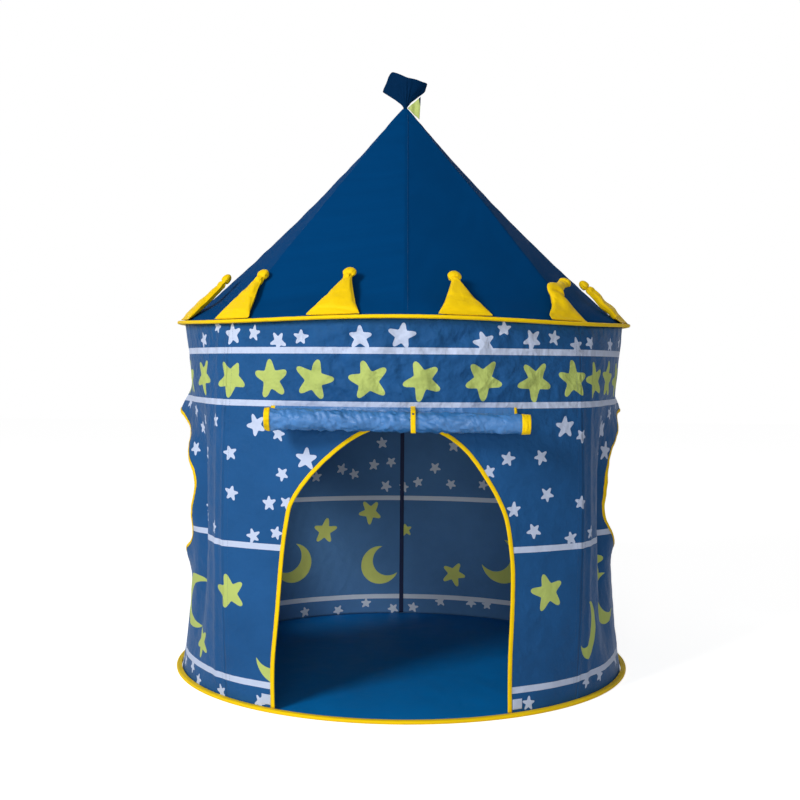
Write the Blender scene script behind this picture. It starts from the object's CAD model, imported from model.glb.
import math
import random

import bmesh
import bpy
import numpy as np
from bpy.props import FloatProperty, FloatVectorProperty, IntProperty, PointerProperty
from mathutils import Matrix, Vector, geometry, kdtree


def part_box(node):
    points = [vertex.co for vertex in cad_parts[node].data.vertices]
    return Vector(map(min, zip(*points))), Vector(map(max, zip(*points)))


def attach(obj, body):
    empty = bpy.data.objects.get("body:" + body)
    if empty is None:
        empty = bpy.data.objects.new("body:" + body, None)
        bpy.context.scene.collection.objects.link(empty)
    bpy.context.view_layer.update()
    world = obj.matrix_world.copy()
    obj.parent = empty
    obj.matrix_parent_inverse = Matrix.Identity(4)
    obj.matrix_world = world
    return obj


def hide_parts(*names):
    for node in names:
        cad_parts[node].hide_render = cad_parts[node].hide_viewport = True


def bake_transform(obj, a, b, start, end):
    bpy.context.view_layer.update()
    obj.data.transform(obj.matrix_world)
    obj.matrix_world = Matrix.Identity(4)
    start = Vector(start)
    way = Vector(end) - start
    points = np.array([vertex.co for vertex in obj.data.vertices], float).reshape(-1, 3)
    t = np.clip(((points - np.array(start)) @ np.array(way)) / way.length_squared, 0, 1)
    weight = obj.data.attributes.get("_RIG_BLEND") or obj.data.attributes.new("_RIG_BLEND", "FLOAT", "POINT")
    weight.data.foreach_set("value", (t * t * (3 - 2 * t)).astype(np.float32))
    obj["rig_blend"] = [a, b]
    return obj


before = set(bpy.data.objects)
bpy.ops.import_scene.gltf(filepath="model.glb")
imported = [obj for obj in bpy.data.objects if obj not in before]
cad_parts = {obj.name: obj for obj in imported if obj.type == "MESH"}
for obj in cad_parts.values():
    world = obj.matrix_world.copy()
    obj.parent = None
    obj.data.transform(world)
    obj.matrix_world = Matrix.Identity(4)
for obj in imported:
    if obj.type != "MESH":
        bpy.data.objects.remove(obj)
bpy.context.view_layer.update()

bl_info = {
    "name": "Play tent dressing",
    "version": (1, 0, 0),
    "blender": (4, 5, 0),
    "location": "View3D > Sidebar > Tent",
    "description": "Sews the cloth, bindings and print of a child's play tent over its frame",
    "category": "Object",
}

# The house; lengths are in metres throughout, and angles run from the doorway (-Y) toward +X
TURN = math.tau
QUARTER = math.tau / 4
BRIM_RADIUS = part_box("eave_binding")[1].x
EAVE_HEIGHT = 0.7944
EAVE_DIP = 0.007
APEX_HEIGHT = 1.3109
WALL_FOOT_RADIUS = BRIM_RADIUS - 0.0135
WALL_HEAD_RADIUS = BRIM_RADIUS - 0.0175
WALL_FLAT_SHARE = 0.27
ROOF_FOOT_RADIUS = BRIM_RADIUS - 0.0165
ROOF_FLAT_SHARE = 0.56
ROOF_HOLE_RADIUS = 0.0085
ROOF_CLEARANCE = 0.0004
BRIM_THICK = 0.0076
CLOTH = 0.0009
WALL_BOTTOM = 0.0009
WALL_REACH = 0.49
SEAM_REACH = 0.5
PRINT_RADIUS = 0.505
CORNERS = {
    "front_right": QUARTER / 2, "back_right": 3 * QUARTER / 2,
    "back_left": 5 * QUARTER / 2, "front_left": 7 * QUARTER / 2,
}
FACES = {"front": 0.0, "right": QUARTER, "back": 2 * QUARTER, "left": 3 * QUARTER}

# Openings
DOOR_MIDDLE = -0.014
DOOR_FOOT_LEFT = 0.240
DOOR_FOOT_RIGHT = 0.226
# Height of the tape's middle line, and how far left and right of the axis it lies there
DOOR_TAPE_LINE = (
    (0.0079, 0.2595, 0.2165), (0.060, 0.2620, 0.2163), (0.107, 0.2610, 0.2168), (0.150, 0.2570, 0.2185),
    (0.200, 0.2525, 0.2210), (0.250, 0.2490, 0.2222), (0.298, 0.2455, 0.2218), (0.346, 0.2405, 0.2165),
    (0.371, 0.2365, 0.2125), (0.395, 0.2325, 0.2075), (0.415, 0.2290, 0.2000), (0.443, 0.2140, 0.1865),
    (0.468, 0.1960, 0.1712), (0.492, 0.1755, 0.1560), (0.516, 0.1510, 0.1385), (0.534, 0.1310, 0.1235),
    (0.556, 0.1020, 0.0965), (0.572, 0.0730, 0.0690), (0.581, 0.0450, 0.0380), (0.5857, 0.0060, -0.0050),
)
WINDOW_RADIUS = 0.170
WINDOW_HEIGHT = 0.425
WINDOW_WAVE = 0.003
WINDOW_WAVES = 7
TAPE_WIDTH = 0.0095

# Door flap, tie and patches
ROLL_RADIUS = 0.0225
ROLL_HEIGHT = 0.590
ROLL_LEFT = -0.275
ROLL_RIGHT = 0.247
FLAP_SEAM_HEIGHT = 0.617
TIE_MIDDLE = 0.018
TIE_WIDTH = 0.009
TIE_THICK = 0.0011
TIE_SEAM_HEIGHT = 0.6195
TIE_GAP = 0.0012
TIE_END = 0.017
TIE_PITCH = 0.0016
# The snap's section, out from its middle and off the strap, and how far along the strap it sits
SNAP_SECTION = ((0.0, 0.0021), (0.0014, 0.0021), (0.0023, 0.0017), (0.0028, 0.0008), (0.0028, -0.0006))
SNAP_SIDES = 20
SNAP_ALONG = 0.56
PATCH_SIDE = 0.020
PATCH_HEIGHT = 0.0125
PATCH_PILE = 0.0012
PATCH_FUZZ = 0.00012

# Crown points
CROWN_COUNT = 12
CROWN_FOOT_RADIUS = BRIM_RADIUS - 0.010
CROWN_HALF_WIDTH = 0.0570
CROWN_NECK_HALF = 0.0108
CROWN_NECK_AT = 0.1300
CROWN_BALL_AT = 0.141
CROWN_BALL_RADIUS = 0.0138
CROWN_TAPER = 1.12
CROWN_FOOT_UP = 0.0015
CROWN_GAP = 0.0006


def screen(red, green, blue):
    """A colour from 8-bit screen values."""
    shares = [channel / 255 for channel in (red, green, blue)]
    return tuple(s / 12.92 if s <= 0.04045 else ((s + 0.055) / 1.055) ** 2.4 for s in shares)


# Surfaces of the house

def face_offset(angle):
    """The angle from the middle of the nearest of the four faces."""
    return (angle + QUARTER / 2) % QUARTER - QUARTER / 2


def corner_offset(angle):
    """The angle from the nearest corner pole."""
    return angle % QUARTER - QUARTER / 2


def eave_height(angle):
    return EAVE_HEIGHT - EAVE_DIP * np.sin(2 * angle) ** 2


def wall_top(angle):
    return eave_height(angle) - BRIM_THICK / 2


def wall_radius(angle, height):
    """The wall's outer face: round at the hoops, pulled square over the poles between them."""
    rise = height / EAVE_HEIGHT
    flat = WALL_FLAT_SHARE * 4 * rise * (1 - rise)
    radius = WALL_FOOT_RADIUS + (WALL_HEAD_RADIUS - WALL_FOOT_RADIUS) * rise
    return radius * (1 - flat + flat * math.pi / 4 / np.cos(face_offset(angle)))


def roof_radius(angle, rise):
    """The roof's outer face, at a share of its height counted down from the apex."""
    flat = ROOF_FLAT_SHARE * (1 - rise)
    corner = math.cos(QUARTER / 2) / np.cos(face_offset(angle))
    return ROOF_FOOT_RADIUS * rise * (1 - flat + flat * corner)


def roof_foot(angle):
    return eave_height(angle) + BRIM_THICK / 2 + ROOF_CLEARANCE


def spread(angle, radius, height):
    """Points at angles round the axis, radii out and heights up."""
    angle, radius, height = np.broadcast_arrays(angle, radius, height)
    return np.stack([radius * np.sin(angle), -radius * np.cos(angle), height], -1)


# Slack, creases and puckers

def ease(value):
    """0 below 0, 1 above 1, smooth between."""
    value = np.clip(value, 0, 1)
    return value * value * (3 - 2 * value)


def bell(distance, width):
    return np.exp(-((distance / width) ** 2))


LATTICE = 64
TABLES = {}


def value_noise(x, y, seed):
    """Smooth noise from -1 to 1, one bump per unit."""
    if seed not in TABLES:
        TABLES[seed] = np.random.RandomState(seed).uniform(-1, 1, (LATTICE, LATTICE))
    table = TABLES[seed]
    column, row = np.floor(x).astype(int), np.floor(y).astype(int)
    across, up = ease(x - column), ease(y - row)

    def corner(c, r):
        return table[(row + r) % LATTICE, (column + c) % LATTICE]

    low = corner(0, 0) * (1 - across) + corner(1, 0) * across
    high = corner(0, 1) * (1 - across) + corner(1, 1) * across
    return low * (1 - up) + high * up


def drapes(x, y, pitch, seed):
    """Broad soft folds that run mostly upright."""
    return value_noise(x / pitch + 0.35 * y / pitch, y / (3.2 * pitch), seed) + 0.5 * value_noise(
        x / (0.55 * pitch) - 0.3 * y / pitch, y / (2.0 * pitch), seed + 1
    )


# The turn of each set of creases in radians, and how strong it is
CREASES = ((0.35, 1.0), (1.25, 0.8), (2.05, 0.9), (2.75, 0.7))


def crumple(x, y, pitch, seed):
    """Flat facets between straight sharp creases, as on cloth that was packed."""
    warp_x = 0.35 * pitch * value_noise(x / (1.7 * pitch), y / (1.7 * pitch), seed)
    warp_y = 0.35 * pitch * value_noise(x / (1.7 * pitch), y / (1.7 * pitch), seed + 1)
    total = 0
    for index, (turn, share) in enumerate(CREASES):
        along = (x + warp_x) * math.cos(turn) + (y + warp_y) * math.sin(turn)
        along = along / (pitch * (1 + 0.23 * index)) + index * 0.37
        mask = ease(0.5 + 0.9 * value_noise(x / (2.3 * pitch), y / (2.3 * pitch), seed + 2 + index))
        total = total + share * mask * (2 * np.abs(2 * (along - np.floor(along + 0.5))) - 1)
    return total / 2


# Hollows where the slack side walls fall in between a pole and a window:
# angle, half width toward the pole, half width toward the window, depth
HOLLOWS = (
    (63.0, 4.4, 5.6, 0.036), (-62.5, 4.2, 5.2, 0.026), (118, 7.0, 8.0, 0.020), (-119, 7.5, 8.0, 0.022),
)
# The ridge in the cloth by each front and back pole, with a shallow valley on its two sides
RIDGES = (math.radians(49.0), math.radians(135.0))
RIDGE_RISE, RIDGE_WIDTH = 0.0030, 0.017
VALLEY_DROP, VALLEY_OFF, VALLEY_WIDTH = 0.0010, 0.055, 0.022
# Pitches of the folds and creases, and the part of the front above the doorway that is creased most
WALL_FOLDS, WALL_CREASES, WALL_FINE_CREASES = 0.115, 0.058, 0.026
LIVELY_FROM, LIVELY_OVER, LIVELY_HALF_TURN = 0.54, 0.12, 0.62
EAVE_GATHER_DOWN, FLOOR_GATHER_UP = 0.035, 0.03
# How far the cloth round each side window stands out, and how much further over its top
SIDE_PUSH = {QUARTER: 0.004, -QUARTER: 0.011}
TOP_PUSH, PUSH_WIDTH = 0.017, 0.038
# The cloth never sinks into the poles, and is pressed flat behind the roll
PROP_AT_RIDGE, PROP_AT_POLE, PROP_GAP = 0.024, 0.026, 0.0006
BEHIND_ROLL_HALF_TURN, BEHIND_ROLL_HEIGHT, BEHIND_ROLL_WIDTH, BEHIND_ROLL_SINK = 0.66, 0.594, 0.030, 0.0008


def nearest_turn(angle):
    """The angle between half a turn back and half a turn on."""
    return (angle + math.pi) % TURN - math.pi


def wall_slack(angle, height):
    """How far the hung cloth stands off its plain surface."""
    sizes = bpy.context.scene.tent_sizes
    signed = nearest_turn(angle)
    x, y = signed * PRINT_RADIUS, height
    top = wall_top(angle)
    away = ease((math.pi - abs(signed)) / 0.07)
    held = ease((height - 0.004) / 0.05) * ease((top - height) / 0.03) * away
    slack = sizes.wall_drape * drapes(x, y, WALL_FOLDS, 11) * held
    lively = 0.16 + 0.84 * ease((height - LIVELY_FROM) / LIVELY_OVER) * bell(signed, LIVELY_HALF_TURN)
    slack = slack + sizes.wall_crumple * crumple(x, y, WALL_CREASES, 23) * held * lively
    slack = slack + 0.7 * sizes.wall_crumple * crumple(x, y, WALL_FINE_CREASES, 41) * held * lively
    gather = value_noise(x / 0.019, 0 * y + 3.3, 7) + 0.6 * value_noise(x / 0.041, y / 0.09, 8)
    gather = gather * away
    slack = slack + sizes.eave_gather * gather * bell(top - height, EAVE_GATHER_DOWN) * ease((top - height) / 0.006)
    slack = slack + 0.6 * sizes.eave_gather * gather * bell(height, FLOOR_GATHER_UP) * ease(height / 0.012)
    corner = np.where(abs(signed) < QUARTER, abs(signed) - RIDGES[0], abs(signed) - RIDGES[1])
    valley = VALLEY_DROP * bell(abs(corner) - VALLEY_OFF, VALLEY_WIDTH)
    slack = slack + held * (RIDGE_RISE * bell(corner, RIDGE_WIDTH) - valley)
    for middle, pole_side, window_side, depth in HOLLOWS:
        off = nearest_turn(signed - math.radians(middle))
        nearer = (off * middle < 0) == (abs(middle) < 90)
        width = np.where(nearer, math.radians(pole_side), math.radians(window_side))
        inward = bell(off, width) * np.sin(math.pi * np.clip((height - 0.05) / 0.60, 0, 1)) ** 1.1
        slack = slack - depth * inward * ease(abs(corner) / 0.05)
    for side, push in SIDE_PUSH.items():
        across = nearest_turn(signed - side) * WALL_REACH
        rise = height - WINDOW_HEIGHT
        reach = np.hypot(across, rise)
        turn = np.arctan2(rise, across)
        wave = np.sin(8 * turn + 1.3 * side) + 0.6 * np.sin(5 * turn + 0.7)
        push = push + TOP_PUSH * bell(turn - QUARTER, 0.65) + sizes.window_wave * wave
        slack = slack + push * bell(reach - WINDOW_RADIUS, PUSH_WIDTH)
    propped = np.maximum(bell(corner, PROP_AT_RIDGE), bell(corner_offset(signed), PROP_AT_POLE))
    slack = slack * (1 - propped) + np.maximum(slack, PROP_GAP) * propped
    behind = ease((BEHIND_ROLL_HALF_TURN - abs(signed)) / 0.08) * bell(height - BEHIND_ROLL_HEIGHT, BEHIND_ROLL_WIDTH)
    return slack * (1 - behind) - BEHIND_ROLL_SINK * behind


def wall_point(angle, height, outward=0.0):
    """A point of the hung wall, moved outward from the cloth's outer face."""
    angle, height = np.asarray(angle, float), np.asarray(height, float)
    return spread(angle, wall_radius(angle, height) + wall_slack(angle, height) + outward, height)


# The roof's folds and creases, the puckers beside its seams, and the lap of one gore over the next
ROOF_FOLDS, ROOF_CREASES, ROOF_CREASE_DEPTH = 0.16, 0.06, 0.0007
PUCKER_ASIDE, PUCKER_WIDTH = 0.007, 0.009
LAP_WIDTH, LAP_THICK = 0.0085, 0.0009
ROOF_SLOPE = math.atan2(APEX_HEIGHT - EAVE_HEIGHT, ROOF_FOOT_RADIUS)
ROOF_SLANT = math.hypot(ROOF_FOOT_RADIUS, APEX_HEIGHT - EAVE_HEIGHT)


def roof_point(angle, rise, inward=0.0):
    """A point of the roof: drawn flat between the ridges and the seams, with puckered seams."""
    sizes = bpy.context.scene.tent_sizes
    angle, rise = np.asarray(angle, float), np.asarray(rise, float)
    radius = roof_radius(angle, rise)
    seam = np.abs(face_offset(angle))
    start, end = roof_radius(0.0, rise), roof_radius(QUARTER / 2, rise)
    half = QUARTER / 2
    chord = start * end * math.sin(half) / (start * np.sin(seam) + end * np.sin(half - seam))
    flat = sizes.roof_flatness * ease((1 - rise) / 0.10) * ease(rise / 0.05)
    radius = radius + flat * (chord - radius)
    down = rise * ROOF_SLANT
    across = seam * radius
    side = np.sign(face_offset(angle))
    held = ease((1 - rise) / 0.05) * ease(rise / 0.06)
    signed = nearest_turn(angle)
    away = ease((math.pi - abs(signed)) * radius / 0.03)
    x, y = signed * radius, down
    lift = sizes.roof_drape * drapes(x, y, ROOF_FOLDS, 61) * held * ease(across / 0.03)
    lift = lift + ROOF_CREASE_DEPTH * crumple(x, y, ROOF_CREASES, 71) * held * away
    pucker = value_noise(down / 0.013, 0 * x + side * 4.7 + 9, 81)
    pucker = pucker + 0.7 * value_noise(down / 0.029, 0 * x + side * 2.2 + 31, 82)
    lift = lift + sizes.seam_pucker * pucker * bell(across - PUCKER_ASIDE, PUCKER_WIDTH) * held
    lift = lift + LAP_THICK * ease((LAP_WIDTH - across) / 0.002) * (side > 0) * held
    gather = value_noise(x / 0.024, 0 * y + 1.7, 91) + 0.5 * value_noise(x / 0.05, y / 0.1, 92)
    gather = gather * away
    gather = sizes.eave_gather * 0.8 * gather * bell((1 - rise) * 0.73, EAVE_GATHER_DOWN)
    lift = lift + gather * ease((1 - rise) / 0.02)
    height = APEX_HEIGHT - rise * (APEX_HEIGHT - roof_foot(angle))
    off = lift - inward
    return spread(angle, radius + off * math.sin(ROOF_SLOPE), height + off * math.cos(ROOF_SLOPE))


# Meshes

def lay_map(mesh, maps):
    """Give a mesh its cloth map, in metres across and up at each point."""
    layer = mesh.uv_layers.new(name="cloth")
    loops = np.empty(len(mesh.loops), np.int32)
    mesh.loops.foreach_get("vertex_index", loops)
    layer.data.foreach_set("uv", np.asarray(maps, np.float32)[loops].ravel())


def paint_faces(mesh, slots):
    """Give each face its material slot."""
    mesh.polygons.foreach_set("material_index", np.asarray(slots, np.int32).ravel())


def make_mesh(name, points, faces, maps=None, slots=None):
    """A mesh from points and faces, with a cloth map in metres and a material for each face."""
    mesh = bpy.data.meshes.new(name)
    mesh.from_pydata([tuple(p) for p in np.asarray(points, float)], [], [tuple(f) for f in faces])
    if maps is not None:
        lay_map(mesh, maps)
    if slots is not None:
        paint_faces(mesh, slots)
    mesh.shade_smooth()
    mesh.validate()
    mesh.update()
    return mesh


def piece(name, mesh, materials):
    """A piece of the tent at the origin."""
    for material in materials:
        mesh.materials.append(material)
    thing = bpy.data.objects.new(name, mesh)
    bpy.context.scene.collection.objects.link(thing)
    return thing


def bake_modifiers(thing):
    """Turn a piece's modifiers into its plain mesh."""
    graph = bpy.context.evaluated_depsgraph_get()
    mesh = bpy.data.meshes.new_from_object(
        thing.evaluated_get(graph), preserve_all_data_layers=True, depsgraph=graph
    )
    thing.modifiers.clear()
    thing.data = mesh


def places(thing):
    """Where a piece's points are."""
    return np.array([v.co for v in thing.data.vertices])


def move_points(thing, points):
    thing.data.vertices.foreach_set("co", points.astype(np.float32).ravel())
    thing.data.update()


def turn_outward(mesh, merge=0.0):
    """Make a closed mesh's faces point outwards, after its doubled points are merged."""
    shape = bmesh.new()
    shape.from_mesh(mesh)
    if merge:
        bmesh.ops.remove_doubles(shape, verts=shape.verts, dist=merge)
    bmesh.ops.recalc_face_normals(shape, faces=shape.faces)
    shape.to_mesh(mesh)
    shape.free()


def thicken(thing, thickness, inner_slots=0):
    """Give a sheet its thickness inward, with its lining in later material slots."""
    solidify = thing.modifiers.new("cloth", "SOLIDIFY")
    solidify.thickness = thickness
    solidify.offset = -1
    solidify.use_even_offset = False
    solidify.material_offset = inner_slots
    bake_modifiers(thing)


def grid_faces(rows, columns, wrap_rows=False, wrap_columns=False, start=0):
    """Quads over a grid of points, row after row, facing outward for rows up and columns right."""
    row = np.arange(rows if wrap_rows else rows - 1)[:, None]
    column = np.arange(columns if wrap_columns else columns - 1)[None, :]
    after_row, after_column = (row + 1) % rows, (column + 1) % columns
    quads = np.stack(
        np.broadcast_arrays(
            row * columns + column, row * columns + after_column,
            after_row * columns + after_column, after_row * columns + column,
        ), -1
    )
    return quads.reshape(-1, 4) + start


def tube_faces(rows, columns, start=0):
    """Quads round a stack of rings, with a face over each end."""
    faces = grid_faces(rows, columns, wrap_columns=True, start=start).tolist()
    last = start + (rows - 1) * columns
    return faces + [[start + i for i in range(columns)][::-1], [last + i for i in range(columns)]]


def pairs(across, up):
    """Map places from values across and up that spread over each other."""
    return np.stack(np.broadcast_arrays(across, up), -1)


def grid_piece(name, points, maps, materials, wrap_columns=False, flip=False):
    """A piece over a grid of points with shape rows, columns, 3."""
    faces = grid_faces(*points.shape[:2], wrap_columns=wrap_columns)
    if flip:
        faces = faces[:, ::-1]
    mesh = make_mesh(name, points.reshape(-1, 3), faces.tolist(), maps.reshape(-1, 2))
    return piece(name, mesh, materials)


def resample(points, pitch, closed=False):
    """Points evenly spaced along a line."""
    points = np.asarray(points, float)
    if closed:
        points = np.concatenate([points, points[:1]])
    gone = np.concatenate([[0], np.cumsum(np.linalg.norm(np.diff(points, axis=0), axis=1))])
    count = max(int(round(gone[-1] / pitch)), 2)
    at = np.linspace(0, gone[-1], count + 1)
    if closed:
        at = at[:-1]
    return np.stack([np.interp(at, gone, points[:, k]) for k in range(points.shape[1])], 1)


def inside(points, outline):
    """Which points lie inside a closed outline."""
    x, y = points[:, 0], points[:, 1]
    found = np.zeros(len(points), bool)
    last = outline[-1]
    for corner in outline:
        crosses = (corner[1] > y) != (last[1] > y)
        if crosses.any():
            along = (last[0] - corner[0]) * (y - corner[1]) / (last[1] - corner[1] + 1e-300) + corner[0]
            found ^= crosses & (x < along)
        last = corner
    return found


def smoothed(line, passes):
    """An open line with its corners cut round and its ends kept."""
    for _ in range(passes):
        after = np.stack([0.75 * line[:-1] + 0.25 * line[1:], 0.25 * line[:-1] + 0.75 * line[1:]], 1)
        line = np.concatenate([line[:1], after.reshape(-1, line.shape[1]), line[-1:]])
    return line


def rounded(corners, passes=2):
    """A closed outline with its corners cut round."""
    corners = np.asarray(corners, float)
    for _ in range(passes):
        after = np.roll(corners, -1, axis=0)
        corners = np.stack([0.75 * corners + 0.25 * after, 0.25 * corners + 0.75 * after], 1).reshape(-1, 2)
    return corners


# Outlines of the openings, across and up on their face

def door_outline(outward):
    """The doorway's edge from its left foot over the arch to its right foot."""
    left = [(-across, height) for height, across, _ in DOOR_TAPE_LINE]
    right = [(across, height) for height, _, across in DOOR_TAPE_LINE]
    line = resample(smoothed(np.array(left + right[::-1]), 3), 0.008)
    ahead = np.gradient(line, axis=0)
    away = np.stack([-ahead[:, 1], ahead[:, 0]], 1) / np.linalg.norm(ahead, axis=1, keepdims=True)
    away[0], away[-1] = (-1, 0), (1, 0)
    return line + away * (outward - TAPE_WIDTH / 2)


def window_outline(outward):
    """A side window's wavy round edge."""
    turn = np.linspace(0, TURN, 160, endpoint=False)
    radius = WINDOW_RADIUS + WINDOW_WAVE * np.sin(WINDOW_WAVES * turn) + outward
    return np.stack([radius * np.cos(turn), WINDOW_HEIGHT + radius * np.sin(turn)], 1)


def face_angles(face, across, height):
    """The angles whose wall points lie a level distance sideways of the middle of a face."""
    across, height = np.asarray(across, float), np.asarray(height, float)
    angle = face + across / BRIM_RADIUS
    for _ in range(10):
        reach = (wall_radius(angle, height) + wall_slack(angle, height)) * np.sin(angle - face)
        angle = angle + (across - reach) / BRIM_RADIUS
    return angle


def on_cloth(face, outline):
    """An outline on a face, as arc length and height on the printed cloth."""
    angle = face_angles(face, outline[:, 0], outline[:, 1])
    return np.stack([(angle - face) * PRINT_RADIUS, outline[:, 1]], 1)


# The print: places as degrees from the doorway, millimetres up, size and turn

BANDS = ((50, 13), (330, 12.5), (621, 12.5), (728, 13))
WHITE_STARS = (
    (-77.7, 751, 30, 10), (-57.6, 751, 32, 40), (-49.8, 777, 26, 0), (-43.5, 761, 44, 25), (-36.6, 763, 30, 5),
    (-29.7, 746, 36, 50), (-23.9, 754, 30, 15), (-9.9, 754, 46, 20), (-0.5, 757, 50, 12),
    (18.1, 745, 44, 35), (22.8, 773, 30, 18), (30.2, 752, 42, 48), (36.7, 757, 30, 9),
    (43.7, 742, 34, 28), (48.9, 749, 26, 61), (62.1, 747, 30, 14), (71.9, 753, 26, 30),
    (-49.7, 582, 28, 20), (-36.1, 576, 44, 44), (-30.2, 560, 30, 5), (-43.2, 517, 30, 32), (-23.1, 511, 44, 12),
    (-29.2, 479, 28, 51), (-42.5, 435, 30, 8), (-32.6, 419, 30, 24), (-28.2, 421, 27, 60), (-50.0, 357, 28, 15),
    (-36.7, 350, 30, 37), (-30.7, 359, 27, 2),
    (40.0, 576, 44, 21), (44.7, 557, 28, 55), (25.0, 514, 30, 10), (33.5, 516, 30, 42), (20.3, 489, 27, 27),
    (35.2, 439, 29, 63), (26.7, 411, 30, 18), (44.3, 419, 28, 6), (31.9, 367, 30, 48), (41.6, 347, 28, 31),
    (49.1, 353, 27, 12),
    (-73.0, 31, 28, 22), (-64.0, 35, 28, 50), (-59.0, 15, 27, 8), (-47.0, 15, 28, 33), (-34.0, 15, 28, 60),
    (30.0, 21, 28, 14), (49.0, 38, 28, 41), (56.0, 38, 28, 3), (71.5, 40, 28, 26),
    (-178.0, 566, 44, 33), (171.0, 592, 30, 50), (161.5, 561, 28, 12), (149.0, 596, 30, 40), (152.0, 508, 44, 5),
    (-167.5, 544, 30, 22), (-157.0, 588, 28, 61), (-149.5, 548, 30, 35), (-171.5, 604, 27, 8), (-152.0, 478, 28, 50),
    (140.5, 552, 30, 18), (-140.0, 588, 30, 44),
    (-173.3, 483, 32, 12), (-160.1, 411, 30, 40), (-164.1, 397, 28, 5), (-170.6, 422, 30, 26), (-176.3, 430, 28, 58),
    (-151.6, 391, 30, 17), (-174.7, 363, 30, 44), (179.4, 360, 28, 30), (174.7, 375, 28, 9), (169.1, 415, 30, 52),
    (162.9, 477, 32, 23), (163.8, 371, 28, 61), (153.2, 372, 28, 35), (-148.8, 17, 28, 10), (-159.8, 14, 28, 45),
    (-168.8, 31, 28, 20), (-177.4, 14, 28, 63), (176.3, 18, 28, 29), (167.6, 38, 28, 4), (157.6, 40, 28, 50),
    (152.3, 38, 27, 15),
)
LIME_STARS = (
    (-73.4, 670, 76, 20), (-58.2, 672, 76, 62), (-43.8, 670, 76, 55), (-31.8, 671, 76, 93), (-20.8, 670, 76, 76),
    (-8.2, 669, 76, 102), (4.1, 670, 76, 44), (18.3, 672, 76, 56), (31.5, 670, 76, 53), (42.5, 671, 74, 93),
    (51.8, 670, 74, 30), (61.5, 671, 76, 12), (72.4, 670, 76, 48),
    (-43.0, 230, 72, 30), (35.5, 241, 72, 32), (64.6, 269, 68, 12), (-58.4, 98, 66, 50),
    (-154.8, 240, 64, 24), (-169.5, 290, 64, 60), (178.6, 240, 34, 8), (163.0, 118, 62, 42),
)
CRESCENTS = (
    (-69.0, 172, 116, 3, 1.9), (-29.1, 110, 112, 133), (67.0, 185, 112, 20, 1.25), (49.5, 146, 122, 152, 0.62),
    (-144.4, 156, 108, 45), (-173.0, 140, 108, 150), (147.0, 163, 122, 42),
)


# A star's reach, and how far out its notches lie, as shares of its size, and half an arm's blunt tip
STAR_REACH = 0.545
STAR_WAIST = 0.262
STAR_TIP = 0.115
ARM_SWING = 0.10
UNEVEN = (0.93, 1.07)


def polar(radius, turn):
    return radius * np.array([math.cos(turn), math.sin(turn)])


def star_outline(size, turn, draw):
    """A chubby star with five uneven arms, round at the tips and nearly sharp between them."""
    arms, valleys = [], []
    for arm in range(5):
        tip = turn + TURN * arm / 5 + draw.uniform(-ARM_SWING, ARM_SWING)
        reach = size * STAR_REACH * draw.uniform(*UNEVEN)
        arms.append([polar(reach, tip - STAR_TIP), polar(reach, tip + STAR_TIP)])
        valleys.append(polar(size * STAR_WAIST * draw.uniform(*UNEVEN), turn + TURN * (arm + 0.5) / 5))
    corners = []
    for arm, (first, second) in enumerate(arms):
        before, after = valleys[arm - 1], valleys[arm]
        corners += [0.8 * before + 0.2 * first, first, second, 0.8 * after + 0.2 * second, after]
    return rounded(corners, 2)


def crescent_outline(size, turn, _):
    """A crescent that opens toward its turn, with nothing drawn at random."""
    outer, inner, shift = size / 2, size * 0.40, size * 0.24
    reach = math.acos((outer ** 2 + shift ** 2 - inner ** 2) / (2 * outer * shift))
    far = math.acos((inner ** 2 + shift ** 2 - outer ** 2) / (2 * inner * shift))
    start = math.pi - far
    corners = [polar(outer, t) for t in np.linspace(reach, TURN - reach, 34)]
    corners += [polar(inner, t) + (shift, 0) for t in np.linspace(TURN - start, start, 26)[1:-1]]
    turned = np.array([[math.cos(turn), math.sin(turn)], [-math.sin(turn), math.cos(turn)]])
    return rounded(corners, 1) @ turned


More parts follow.
